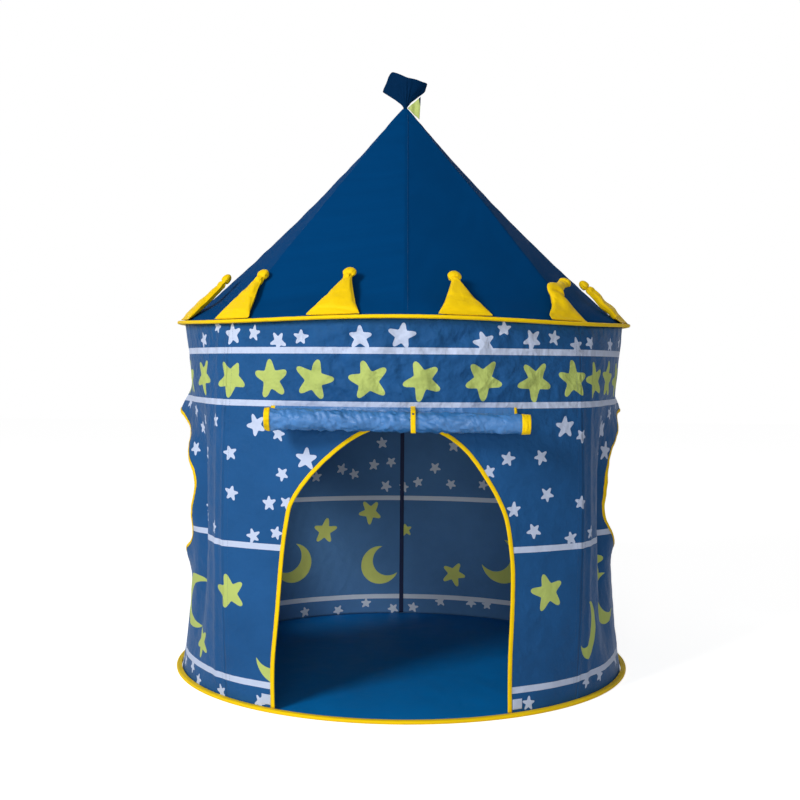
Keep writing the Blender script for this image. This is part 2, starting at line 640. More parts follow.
def print_motifs():
    """Every star and crescent of the print: its ink, its middle and its outline on the cloth all round."""
    draw = random.Random(5)
    placed = []
    white, lime, crescents = list(WHITE_STARS), list(LIME_STARS), list(CRESCENTS)
    for side in (1, -1):
        for step in range(7):
            white.append((side * (82 + 9.4 * step), 762 - 14 * (step % 2), 28 + 6 * (step % 3), draw.uniform(0, 72)))
        for step in range(5):
            lime.append((side * (84.5 + 12.1 * step), 670, 76, draw.uniform(0, 120)))
        for place, up in ((59.5, 578), (64.5, 560), (69, 596), (58, 512), (62.5, 488), (68.5, 512), (58.5, 436),
                          (62.5, 440), (57, 372), (64, 384), (113, 385), (120, 470), (129, 405), (118, 575),
                          (131, 530), (78, 612), (90, 622), (102, 608)):
            white.append((side * place, up, draw.choice((27, 28, 30, 43)), draw.uniform(0, 72)))
        for place, up in ((84, 120), (112, 230), (133, 262)):
            lime.append((side * place, up, 66, draw.uniform(0, 72)))
        for place, up in ((98, 165), (122, 125)):
            crescents.append((side * place, up, 110, draw.uniform(0, 360)))
        for step in range(7):
            white.append((side * (80 + 9 * step), 16 + 12 * (step % 3), 28, draw.uniform(0, 72)))
    top_back = [(137 + 9.2 * step, 750 + 16 * (step % 2), 28 + 8 * (step % 2), 20 * step % 72) for step in range(10)]
    white += [(place if place < 180 else place - 360, *rest) for place, *rest in top_back]
    band_back = [(144.8 + 12.1 * step, 670, 76, 37 * step % 120) for step in range(7)]
    lime += [(place if place < 180 else place - 360, *rest) for place, *rest in band_back]
    for ink, rows, outline in ((1, white, star_outline), (2, lime, star_outline), (2, crescents, crescent_outline)):
        for degrees, up, size, turn, *stretch in rows:
            shape = outline(size / 1000, math.radians(turn), draw) * np.array([stretch[0] if stretch else 1.0, 1.0])
            middle = (math.radians(degrees) * PRINT_RADIUS, up / 1000)
            placed.append((ink, middle, shape + np.array(middle)))
    return placed


WALL_COLUMNS, WALL_ROWS = 134, 130
PRINT_PITCH, OPENING_PITCH, CLEAR_OF_EDGES = 0.0028, 0.004, 0.0022
# How far out from an opening's edge the wall's cloth is cut, inside its folded tape
CUT_INSIDE_TAPE = 0.0045


def wall_mesh(name, face, opening):
    """One wall panel, cut round its opening and along every edge of the print."""
    half = QUARTER / 2 * PRINT_RADIUS
    columns = np.linspace(-half, half, WALL_COLUMNS)
    grid = []
    for column in columns:
        top = float(wall_top(face + column / PRINT_RADIUS))
        grid.append(np.stack([np.full(WALL_ROWS, column), np.linspace(WALL_BOTTOM, top, WALL_ROWS)], 1))
    grid = np.array(grid)
    border = np.concatenate([grid[:, 0], grid[-1, 1:-1], grid[::-1, -1], grid[0, -2:0:-1]])
    loops, inks = [], []
    width = TURN * PRINT_RADIUS
    for ink, middle, outline in print_motifs():
        shift = round((middle[0] - face * PRINT_RADIUS) / width) * width + face * PRINT_RADIUS
        moved = outline - np.array([shift, 0])
        if moved[:, 0].max() < -half or moved[:, 0].min() > half:
            continue
        loops.append(resample(moved, PRINT_PITCH, closed=True))
        inks.append(ink)
    for middle, tall in BANDS:
        for edge in (middle - tall / 2, middle + tall / 2):
            loops.append(np.stack([columns, np.full(len(columns), edge / 1000)], 1))
            inks.append(0)
    if opening is not None:
        edge = on_cloth(face, opening(CUT_INSIDE_TAPE))
        loops.append(resample(edge, OPENING_PITCH, closed=opening is window_outline))
        inks.append(0)
    near = kdtree.KDTree(sum(map(len, loops)))
    for index, point in enumerate(np.concatenate(loops)):
        near.insert((*point, 0), index)
    near.balance()
    core = grid[1:-1, 1:-1].reshape(-1, 2)
    core = core[[near.find((*point, 0))[2] > CLEAR_OF_EDGES for point in core]]
    points, edges = [border], [(i, (i + 1) % len(border)) for i in range(len(border))]
    count = len(border)
    for loop, ink in zip(loops, inks):
        closed = ink > 0 or (opening is window_outline and loop is loops[-1])
        steps = len(loop) if closed else len(loop) - 1
        edges += [(count + i, count + (i + 1) % len(loop)) for i in range(steps)]
        points.append(loop)
        count += len(loop)
    points.append(core)
    flat = np.concatenate(points)
    flat[:, 0] = np.clip(flat[:, 0], -half, half)
    vertices, _, faces, *_ = geometry.delaunay_2d_cdt([Vector(p) for p in flat], edges, [], 0, 1e-6, False)
    flat = np.array([(v.x, v.y) for v in vertices])
    faces = np.array(faces)
    centre = flat[faces].mean(1)
    keep = (centre[:, 1] > WALL_BOTTOM) & (centre[:, 1] < wall_top(face + centre[:, 0] / PRINT_RADIUS))
    if opening is not None:
        hole = loops[-1]
        if opening is door_outline:
            hole = np.concatenate([[(hole[0][0], -1)], hole, [(hole[-1][0], -1)]])
        keep &= ~inside(centre, hole)
    faces, centre = faces[keep], centre[keep]
    slots = np.zeros(len(faces), int)
    for middle, tall in BANDS:
        slots[np.abs(centre[:, 1] * 1000 - middle) < tall / 2] = 1
    for loop, ink in zip(loops, inks):
        if ink:
            low, high = loop.min(0), loop.max(0)
            box = np.where(((centre > low) & (centre < high)).all(1))[0]
            slots[box[inside(centre[box], loop)]] = ink
    used = np.unique(faces)
    again = np.full(len(flat), -1)
    again[used] = np.arange(len(used))
    flat, faces = flat[used], again[faces]
    solid = wall_point(face + flat[:, 0] / PRINT_RADIUS, flat[:, 1])
    maps = flat + np.array([face * PRINT_RADIUS, 0])
    return make_mesh(name, solid, faces.tolist(), maps, slots)


# Cloth and other finishes

def put(tree, kind, sockets=(), **settings):
    """A node with its settings, and its inputs given as values, as other nodes or as their sockets."""
    node = tree.nodes.new(kind)
    for name, value in settings.items():
        setattr(node, name, value)
    for key, value in dict(sockets).items():
        if isinstance(value, bpy.types.Node):
            value = value.outputs[0]
        if isinstance(value, bpy.types.NodeSocket):
            tree.links.new(value, node.inputs[key])
        else:
            node.inputs[key].default_value = value
    return node


def reckon(tree, operation, *values):
    """A sum worked out on values and sockets."""
    return put(tree, "ShaderNodeMath", dict(enumerate(values)), operation=operation)


def blend_colours(tree, factor, first, second):
    """A mix of two colours, each given as a value or as a socket."""
    node = put(tree, "ShaderNodeMix", {"Factor": factor}, data_type="RGBA")
    for socket, colour in zip([s for s in node.inputs if s.type == "RGBA"], (first, second)):
        if isinstance(colour, bpy.types.NodeSocket):
            tree.links.new(colour, socket)
        else:
            socket.default_value = colour
    return node.outputs[2]


def ranged(tree, value, low, high, to_low=0.0, to_high=1.0):
    """A value carried from one range to another."""
    return put(tree, "ShaderNodeMapRange", {"Value": value, "From Min": low, "From Max": high,
                                            "To Min": to_low, "To Max": to_high})


def blank(owner):
    """A material's or a world's tree of nodes, emptied."""
    owner.use_nodes = True
    owner.node_tree.nodes.clear()
    return owner.node_tree


def shade(colour, share):
    return (*(channel * share for channel in colour), 1.0)


def cloth_finish(name, colour, rough, crease=0.0012, crease_scale=34.0, weave=0.00006, weave_scale=700.0,
                 sheen=0.0, depth=0.10, coords="cloth", through=0.0, shine=0.45, fleck=0.0, ior=1.45, lively=None):
    """Woven cloth: its thread, packed creases, and a drift of colour and gloss over it."""
    material = bpy.data.materials.new(name)
    tree = blank(material)
    if coords == "cloth":
        where = put(tree, "ShaderNodeUVMap", uv_map="cloth").outputs["UV"]
    else:
        where = put(tree, "ShaderNodeTexCoord").outputs["Object"]
    drift = put(tree, "ShaderNodeTexNoise", {"Vector": where, "Scale": 7.0, "Detail": 5.0, "Roughness": 0.6})
    push = put(tree, "ShaderNodeVectorMath", {0: drift.outputs["Color"], 1: (0.5, 0.5, 0.5)}, operation="SUBTRACT")
    push = put(tree, "ShaderNodeVectorMath", {0: push, "Scale": 0.06}, operation="SCALE")
    bent = put(tree, "ShaderNodeVectorMath", {0: where, 1: push}, operation="ADD")
    facets = put(tree, "ShaderNodeTexVoronoi", {"Vector": bent, "Scale": crease_scale})
    fine = put(tree, "ShaderNodeTexVoronoi", {"Vector": bent, "Scale": crease_scale * 2.7})
    both = reckon(tree, "MULTIPLY_ADD", fine.outputs["Distance"], 0.35, facets.outputs["Distance"])
    warp, weft = (
        put(tree, "ShaderNodeTexWave", {"Vector": where, "Scale": weave_scale, "Distortion": 0.6, "Detail": 1.0},
            bands_direction=direction).outputs["Fac"]
        for direction in "XY"
    )
    cross = reckon(tree, "ADD", warp, weft)
    relief = put(tree, "ShaderNodeBump", {"Height": cross, "Distance": weave, "Strength": 0.6})
    relief = put(tree, "ShaderNodeBump", {"Height": both, "Distance": crease, "Strength": 0.7, "Normal": relief})
    if lively:
        rise = put(tree, "ShaderNodeSeparateXYZ", {0: where}).outputs["Y"]
        rise = ranged(tree, rise, *lively, 0.35, 1.0)
        tree.links.new(rise.outputs[0], relief.inputs["Strength"])
    drifted = ranged(tree, drift.outputs["Fac"], 0.3, 0.7)
    ink = blend_colours(tree, drifted, shade(colour, 1 - depth), shade(colour, 1 + depth))
    if fleck:
        speck = put(tree, "ShaderNodeTexNoise", {"Vector": where, "Scale": 520.0, "Detail": 3.0})
        worn = ranged(tree, speck.outputs["Fac"], 0.62, 0.72, 0.0, fleck)
        ink = blend_colours(tree, worn, ink, shade(colour, 0.55))
    gloss = ranged(tree, drift.outputs["Fac"], 0.3, 0.7, rough - 0.05, rough + 0.07)
    surface = put(tree, "ShaderNodeBsdfPrincipled", {
        "Base Color": ink, "Roughness": gloss, "Normal": relief, "Specular IOR Level": shine, "IOR": ior,
        "Sheen Weight": sheen, "Sheen Roughness": 0.4,
    })
    if through:
        glow = put(tree, "ShaderNodeBsdfTranslucent", {"Color": ink, "Normal": relief})
        surface = put(tree, "ShaderNodeMixShader", {0: through, 1: surface, 2: glow})
    put(tree, "ShaderNodeOutputMaterial", {"Surface": surface})
    material.diffuse_color = (*colour, 1.0)
    return material


def hard_finish(name, colour, rough, metallic=0.0, grain=0.00004, scale=260.0, streak=1.0):
    """Moulded plastic, resin rod or drawn steel: fine grain, mild smudges and gloss that drifts."""
    material = bpy.data.materials.new(name)
    tree = blank(material)
    where = put(tree, "ShaderNodeTexCoord").outputs["Object"]
    stretch = put(tree, "ShaderNodeMapping", {"Vector": where, "Scale": (1.0, 1.0, streak)})
    speck = put(tree, "ShaderNodeTexNoise", {"Vector": stretch, "Scale": scale, "Detail": 6.0})
    smudge = put(tree, "ShaderNodeTexNoise", {"Vector": where, "Scale": 18.0, "Detail": 3.0}).outputs["Fac"]
    relief = put(tree, "ShaderNodeBump", {"Height": speck.outputs["Fac"], "Distance": grain, "Strength": 0.5})
    ink = blend_colours(tree, smudge, shade(colour, 0.85), shade(colour, 1.12))
    gloss = ranged(tree, smudge, 0.0, 1.0, rough - 0.08, rough + 0.10)
    shader = put(tree, "ShaderNodeBsdfPrincipled", {
        "Base Color": ink, "Roughness": gloss, "Metallic": metallic, "Normal": relief,
    })
    put(tree, "ShaderNodeOutputMaterial", {"Surface": shader})
    return material


PRINTED = {"crease": 0.0045, "through": 0.06, "shine": 0.5, "ior": 1.12, "lively": (0.50, 0.62)}
THREAD = {"crease": 0.0, "weave": 0.00008, "weave_scale": 900.0, "coords": "object", "sheen": 0.2}
# Each cloth's colour in the panel, the share of it that shows, its roughness, and what else sets it apart
CLOTHS = {
    "wall_cloth": ("wall", 1, 0.42, PRINTED),
    "white_print": ("print_white", 1, 0.5, {**PRINTED, "depth": 0.05}),
    "lime_print": ("print_lime", 1, 0.5, {**PRINTED, "depth": 0.07}),
    "wall_cloth_inside": ("wall_inside", 1, 0.62, {"through": 0.10, "shine": 0.1}),
    "white_print_inside": ("white_inside", 1, 0.62, {"depth": 0.05, "through": 0.10, "shine": 0.3}),
    "lime_print_inside": ("lime_inside", 1, 0.62, {"depth": 0.05, "through": 0.10, "shine": 0.3}),
    "roof_cloth": ("roof", 1, 0.66, {"crease": 0.0006, "crease_scale": 20.0, "depth": 0.05, "shine": 0.5,
                                     "ior": 1.045}),
    "finial_cloth": ("roof", 0.42, 0.62, {"crease": 0.0008, "crease_scale": 40.0, "depth": 0.06, "shine": 0.5,
                                          "ior": 1.10}),
    "floor_cloth": ("floor", 1, 0.46, {"crease": 0.0010, "crease_scale": 13.0, "depth": 0.06, "shine": 0.5,
                                       "ior": 1.16}),
    "flap_cloth": ("flap", 1, 0.30, {"crease": 0.0040, "crease_scale": 38.0, "depth": 0.12, "shine": 0.6}),
    "yellow_tape": ("yellow", 1, 0.62, {"crease": 0.0004, "crease_scale": 90.0, "weave": 0.00012,
                                        "weave_scale": 330.0, "sheen": 0.05, "depth": 0.06, "shine": 0.5,
                                        "ior": 1.2}),
    "yellow_cloth": ("yellow", 1, 0.58, {"crease": 0.0009, "crease_scale": 62.0, "depth": 0.07, "sheen": 0.03,
                                         "shine": 0.5, "ior": 1.2}),
    "lime_cloth": ("print_lime", 1, 0.6, {"crease": 0.0006, "crease_scale": 60.0}),
    "navy_tape": ("tape", 1, 0.7, {"crease": 0.0003, "weave": 0.00012, "weave_scale": 330.0}),
    "hook_and_loop": ("print_white", 1, 0.9, {"crease": 0.0005, "crease_scale": 900.0, "weave": 0.0003,
                                              "weave_scale": 420.0, "sheen": 0.4, "depth": 0.04, "fleck": 0.25,
                                              "shine": 0.2}),
    "yellow_thread": ("yellow", 0.92, 0.6, THREAD),
    "blue_thread": ("wall", 0.75, 0.6, THREAD),
}
# Each hard finish's screen colour, its roughness, and what else sets it apart
HARD_PARTS = {
    "socket_plastic": ((28, 30, 34), 0.42, {"grain": 0.00008}),
    "pole_resin": ((120, 124, 130), 0.38, {"scale": 420.0, "streak": 0.03}),
    "spring_steel": ((150, 152, 156), 0.30, {"metallic": 1.0, "scale": 500.0}),
    "snap_plastic": ((46, 44, 34), 0.35, {}),
}
FINISHES = {}


def finish_of(name):
    """A finish by name, made once from the colours in the panel."""
    if name not in FINISHES and name in CLOTHS:
        colour, share, rough, more = CLOTHS[name]
        colour = shade(getattr(bpy.context.scene.tent_colours, colour), share)[:3]
        FINISHES[name] = cloth_finish(name, colour, rough, **more)
    elif name not in FINISHES:
        colour, rough, more = HARD_PARTS[name]
        FINISHES[name] = hard_finish(name, screen(*colour), rough, **more)
    return FINISHES[name]


WALL_SLOTS = ("wall_cloth", "white_print", "lime_print", "wall_cloth_inside", "white_print_inside",
              "lime_print_inside")


def finishes(*names):
    return [finish_of(name) for name in names]


# Stitches and hoop tapes, made with Geometry Nodes

def new_tree(name, inputs):
    """An empty tree with a geometry input and output, and named inputs with their defaults."""
    tree = bpy.data.node_groups.new(name, "GeometryNodeTree")
    tree.interface.new_socket("Geometry", in_out="INPUT", socket_type="NodeSocketGeometry")
    for label, kind, default in inputs:
        socket = tree.interface.new_socket(label, in_out="INPUT", socket_type="NodeSocket" + kind)
        if default is not None:
            socket.default_value = default
    tree.interface.new_socket("Geometry", in_out="OUTPUT", socket_type="NodeSocketGeometry")
    return tree, tree.nodes.new("NodeGroupInput").outputs, tree.nodes.new("NodeGroupOutput")


def stitch_tree():
    """Stitches along every line of a mesh, lying on the cloth that its points' outward vectors leave."""
    if "tent_stitches" in bpy.data.node_groups:
        return bpy.data.node_groups["tent_stitches"]
    tree, given, end = new_tree("tent_stitches", (
        ("Pitch", "Float", 0.0035), ("Stitch Length", "Float", 0.0024), ("Thread", "Float", 0.0005),
        ("Unevenness", "Float", 0.12), ("Seed", "Int", 3), ("Material", "Material", None),
    ))
    line = put(tree, "GeometryNodeMeshToCurve", {"Mesh": given["Geometry"]})
    even = put(tree, "GeometryNodeResampleCurve", {"Curve": line, "Length": given["Pitch"]}, mode="LENGTH")
    outward = put(tree, "GeometryNodeInputNamedAttribute", {"Name": "outward"}, data_type="FLOAT_VECTOR")
    tangent = put(tree, "GeometryNodeInputTangent")
    turned = put(tree, "FunctionNodeAlignRotationToVector", {"Vector": tangent}, axis="X")
    turned = put(tree, "FunctionNodeAlignRotationToVector", {"Rotation": turned,
                 "Vector": outward.outputs["Attribute"]}, axis="Z", pivot_axis="X")
    thread = put(tree, "GeometryNodeMeshIcoSphere", {"Radius": 0.5, "Subdivisions": 1})
    low = reckon(tree, "SUBTRACT", 1.0, given["Unevenness"])
    high = reckon(tree, "ADD", 1.0, given["Unevenness"])
    vary = put(tree, "FunctionNodeRandomValue", {"Seed": given["Seed"]}, data_type="FLOAT")
    for socket in vary.inputs:
        if socket.type == "VALUE" and socket.name in ("Min", "Max"):
            tree.links.new((low if socket.name == "Min" else high).outputs[0], socket)
    drawn = [s for s in vary.outputs if s.type == "VALUE"][0]
    long = reckon(tree, "MULTIPLY", given["Stitch Length"], drawn)
    size = put(tree, "ShaderNodeCombineXYZ", {"X": long, "Y": given["Thread"], "Z": given["Thread"]})
    placed = put(tree, "GeometryNodeInstanceOnPoints", {"Points": even, "Instance": thread,
                 "Rotation": turned, "Scale": size})
    real = put(tree, "GeometryNodeRealizeInstances", {"Geometry": placed})
    soft = put(tree, "GeometryNodeSetShadeSmooth", {"Geometry": real, "Shade Smooth": True})
    paint = put(tree, "GeometryNodeSetMaterial", {"Geometry": soft, "Material": given["Material"]})
    tree.links.new(paint.outputs[0], end.inputs[0])
    return tree


def hoop_tape_tree():
    """A tape folded round a spring hoop: a profile carried round a circle, dipped at the poles and puckered."""
    if "tent_hoop_tape" in bpy.data.node_groups:
        return bpy.data.node_groups["tent_hoop_tape"]
    tree, given, end = new_tree("tent_hoop_tape", (
        ("Radius", "Float", BRIM_RADIUS), ("Height", "Float", 0.0), ("Dip", "Float", 0.0),
        ("Pucker", "Float", 0.0004), ("Steps", "Int", 480), ("Material", "Material", None),
    ))
    circle = put(tree, "GeometryNodeCurvePrimitiveCircle", {"Resolution": given["Steps"], "Radius": given["Radius"]})
    profile = put(tree, "GeometryNodeMeshToCurve", {"Mesh": given["Geometry"]})
    tape = put(tree, "GeometryNodeCurveToMesh", {"Curve": circle.outputs["Curve"], "Profile Curve": profile})
    place = put(tree, "GeometryNodeInputPosition")
    parts = put(tree, "ShaderNodeSeparateXYZ", {0: place})
    turn = reckon(tree, "ARCTAN2", parts.outputs["Y"], parts.outputs["X"])
    twice = reckon(tree, "MULTIPLY", turn, 2.0)
    wave = reckon(tree, "SINE", twice)
    square = reckon(tree, "MULTIPLY", wave, wave)
    drop = reckon(tree, "MULTIPLY", square, given["Dip"])
    rise = reckon(tree, "SUBTRACT", given["Height"], drop)
    uneven = put(tree, "ShaderNodeTexNoise", {"Vector": place, "Scale": 95.0, "Detail": 2.0})
    level = reckon(tree, "SUBTRACT", uneven.outputs["Fac"], 0.5)
    lift = reckon(tree, "MULTIPLY", level, given["Pucker"])
    normal = put(tree, "GeometryNodeInputNormal")
    off = put(tree, "ShaderNodeVectorMath", {0: normal, "Scale": lift}, operation="SCALE")
    up = put(tree, "ShaderNodeCombineXYZ", {"Z": rise})
    move = put(tree, "ShaderNodeVectorMath", {0: off, 1: up}, operation="ADD")
    moved = put(tree, "GeometryNodeSetPosition", {"Geometry": tape, "Offset": move})
    soft = put(tree, "GeometryNodeSetShadeSmooth", {"Geometry": moved, "Shade Smooth": True})
    real = put(tree, "GeometryNodeRealizeInstances", {"Geometry": soft})
    paint = put(tree, "GeometryNodeSetMaterial", {"Geometry": real, "Material": given["Material"]})
    tree.links.new(paint.outputs[0], end.inputs[0])
    return tree


def grow(thing, tree, values):
    """Run a tree on an object with its inputs set by identifier, and keep the plain mesh that it makes."""
    modifier = thing.modifiers.new(tree.name, "NODES")
    modifier.node_group = tree
    for item in tree.interface.items_tree:
        if item.item_type == "SOCKET" and item.in_out == "INPUT" and item.name in values:
            modifier[item.identifier] = values[item.name]
    thing.update_tag()
    bpy.context.view_layer.update()
    bake_modifiers(thing)


def sew(name, lines, material):
    """One piece of stitches along lines of points, each with its outward vectors."""
    sizes = bpy.context.scene.tent_sizes
    points, edges, outward = [], [], []
    for line, away, closed in lines:
        first = len(points)
        points += [tuple(p) for p in line]
        outward += [tuple(p) for p in away]
        edges += [(first + i, first + i + 1) for i in range(len(line) - 1)]
        if closed:
            edges.append((first + len(line) - 1, first))
    mesh = bpy.data.meshes.new(name)
    mesh.from_pydata(points, edges, [])
    layer = mesh.attributes.new("outward", "FLOAT_VECTOR", "POINT")
    layer.data.foreach_set("vector", np.asarray(outward, np.float32).ravel())
    thing = piece(name, mesh, [])
    grow(thing, stitch_tree(), {
        "Pitch": sizes.stitch_pitch, "Stitch Length": sizes.stitch_length, "Thread": sizes.thread,
        "Unevenness": 0.15, "Seed": 3, "Material": finish_of(material),
    })
    for layer in [layer for layer in thing.data.attributes if layer.name == "outward"]:
        thing.data.attributes.remove(layer)
    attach(thing, "tent")


def away_from_axis(points):
    """Unit vectors straight out from the upright axis."""
    out = np.asarray(points, float) * (1, 1, 0)
    return out / np.maximum(np.linalg.norm(out, axis=1, keepdims=True), 1e-9)


def offset_outline(face, outline, lift):
    """A line on the wall at an outline on a face, lifted off the cloth, with its outward vectors."""
    angle = face_angles(face, outline[:, 0], outline[:, 1])
    line = wall_point(angle, outline[:, 1], lift)
    return line, away_from_axis(line)


# Pieces of the tent

# The area of each wall panel that has an opening cut from it
FINIAL_NECK = APEX_HEIGHT - 0.0039
FINIAL_HALF_WIDTH = 0.0540
FINIAL_HALF_DEPTH = 0.0170
FINIAL_RISE = 0.0800
FINIAL_NECK_RADIUS = 0.0048
FINIAL_STEM = 0.0052
FINIAL_SIDES, FINIAL_RINGS = 180, 64
FINIAL_GIRTH, FINIAL_LENGTH = 0.30, 0.08
FINIAL_FOLDS, FINIAL_CREASES, FINIAL_HEM = 0.0011, 0.0020, 0.0008
LINING_WAVE, LINING_FOLDS = 0.0012, 0.0007
LINING_STEPS, LINING_FRONT_FACES = 20, 17
# Places round the finial's rim, as shares of its half width, half depth and rise, and the lining's corners
FINIAL_RIM = (
    (0.10, -0.94, 0.84), (0.40, -0.82, 0.80), (0.72, -0.53, 0.74), (0.95, 0.00, 0.69),
    (0.80, 0.59, 0.45), (0.37, 0.94, 0.50), (-0.09, 1.00, 0.56), (-0.52, 0.88, 0.52),
    (-0.85, 0.53, 0.47), (-1.00, 0.00, 0.46), (-0.81, -0.47, 0.75), (-0.59, -0.76, 1.00),
)
FINIAL_LINING = ((0.10, -0.01), (0.67, 0.32), (0.66, 0.10), (0.62, -0.35))


def settle(thing, body="tent", slot=None, *nodes):
    """A finished piece rides on its body and stands for the nodes that it replaces."""
    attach(thing, body)
    if nodes:
        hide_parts(*nodes)


# A folded edge tape's section: how far out round its opening, and how far off the cloth's middle
TAPE_SECTION = np.array([
    (8.9, 1.0), (8.3, 1.6), (7.2, 1.8), (4.8, 2.0), (2.3, 1.9), (1.1, 1.2), (0.7, 0.0), (1.1, -1.2), (2.3, -1.9),
    (4.8, -2.0), (7.2, -1.8), (8.3, -1.6), (8.9, -1.0), (8.7, -0.75), (4.8, -0.7), (4.4, 0.0), (4.8, 0.7),
    (8.7, 0.75),
]) / 1000
# The tape's length on its cloth map, and how far its edges wander and its faces pucker
TAPE_RUN = 1.5
TAPE_WOBBLE = 0.00045
TAPE_PUCKER = 0.00035
TAPE_STITCHES_IN = 0.0070
TAPE_STITCHES_OUT = 0.0016


def edge_tape(name, face, outline, closed):
    """A tape folded over the cut edge of an opening, a little uneven, as sewn by hand."""
    steps = len(resample(outline(0.0), 0.004, closed))
    at = np.linspace(0, 1, steps, endpoint=not closed)
    run = at * TAPE_RUN / 0.011
    wobble = TAPE_WOBBLE * value_noise(run, 0 * run + 2.2, 33)
    rings = []
    for outward, lift in TAPE_SECTION:
        edge = outline(outward)
        if closed:
            edge = np.concatenate([edge, edge[:1]])
        gone = np.linspace(0, 1, len(edge))
        across, height = np.interp(at, gone, edge[:, 0]), np.interp(at, gone, edge[:, 1]) + wobble
        pucker = TAPE_PUCKER * value_noise(2.3 * run, 0 * run + 1000 * outward / 4, 34)
        angle = face_angles(face, across, height)
        rings.append(wall_point(angle, height, lift - CLOTH / 2 + (1 if lift > 0 else -1) * pucker))
    points = np.stack(rings)
    rows, columns = points.shape[:2]
    maps = pairs(np.linspace(0, TAPE_RUN, steps)[None, :], np.arange(rows)[:, None] * 0.0014)
    faces = grid_faces(rows, columns, wrap_rows=True, wrap_columns=closed).tolist()
    if not closed:
        faces.append([row * columns for row in range(rows)])
        faces.append([row * columns + columns - 1 for row in range(rows)][::-1])
    mesh = make_mesh(name, points.reshape(-1, 3), faces, maps.reshape(-1, 2))
    turn_outward(mesh)
    return piece(name, mesh, finishes("yellow_tape"))


def tube(name, lines, radius, sides, materials, closed_ends=True):
    """Tubes along upright lines of points, as one mesh."""
    points, faces, maps = [], [], []
    turn = np.linspace(0, TURN, sides, endpoint=False)
    for line in lines:
        ahead = np.gradient(line, axis=0)
        ahead /= np.linalg.norm(ahead, axis=1, keepdims=True)
        side = np.cross(ahead, (1.0, 0, 0))
        side /= np.linalg.norm(side, axis=1, keepdims=True)
        square = np.cross(ahead, side)
        reach = np.broadcast_to(radius, (len(line),))
        ring = line[:, None] + reach[:, None, None] * (
            np.cos(turn)[None, :, None] * side[:, None] + np.sin(turn)[None, :, None] * square[:, None]
        )
        closed = tube_faces(len(line), sides, len(points))
        faces += closed if closed_ends else closed[:-2]
        points += ring.reshape(-1, 3).tolist()
        gone = np.concatenate([[0], np.cumsum(np.linalg.norm(np.diff(line, axis=0), axis=1))])
        maps += pairs(turn[None, :] * float(np.mean(reach)), gone[:, None]).reshape(-1, 2).tolist()
    mesh = make_mesh(name, points, faces, np.array(maps))
    turn_outward(mesh)
    return piece(name, mesh, materials)


def make_walls():
    openings = {"front": door_outline, "right": window_outline, "left": window_outline}
    for name, face in FACES.items():
        mesh = wall_mesh("wall_cloth_" + name, face, openings.get(name))
        wall = piece("wall_cloth_" + name, mesh, finishes(*WALL_SLOTS))
        thicken(wall, CLOTH, inner_slots=3)
        settle(wall, "tent", "wall_cloth", "wall_" + name)


def make_tapes():
    for name, face, outline, node in (
        ("door_tape", 0.0, door_outline, "door_binding"),
        ("window_tape_right", QUARTER, window_outline, "window_binding_right"),
        ("window_tape_left", 3 * QUARTER, window_outline, "window_binding_left"),
    ):
        closed = outline is window_outline
        settle(edge_tape(name, face, outline, closed), "tent", "yellow_cloth", node)
        lines = []
        for side in (1, -1):
            lift = TAPE_STITCHES_OUT if side > 0 else -CLOTH - TAPE_STITCHES_OUT
            line, away = offset_outline(face, resample(outline(TAPE_STITCHES_IN), 0.003, closed), lift)
            lines.append((line, side * away, closed))
        sew("stitches_" + name, lines, "yellow_thread")


def hoop_profile():
    """The folded tape's section: outward past the brim, and up (which the tree turns to -Y)."""
    inner = -0.0187
    half = BRIM_THICK / 2
    outline = [
        (inner, -half + 0.0003), (inner + 0.003, -half + 0.0001), (-0.0110, -half + 0.0008),
        (-0.0070, -half + 0.0003), (-0.0045, -half), (-0.0018, -half + 0.0005), (-0.0003, -half + 0.0022),
        (0.0, 0.0), (-0.0003, half - 0.0022), (-0.0018, half - 0.0005), (-0.0045, half),
        (-0.0070, half - 0.0003), (-0.0110, half - 0.0008), (inner + 0.003, half - 0.0001), (inner, half - 0.0003),
    ]
    return [(out, -up, 0.0) for out, up in outline]


# How far in from the brim's edge its stitches run, how deep they sit, and how far in the floor's tape ends
HOOP_STITCHES_IN = 0.0105
HOOP_STITCHES_DOWN = 0.0007
FLOOR_TAPE_IN = 0.0122


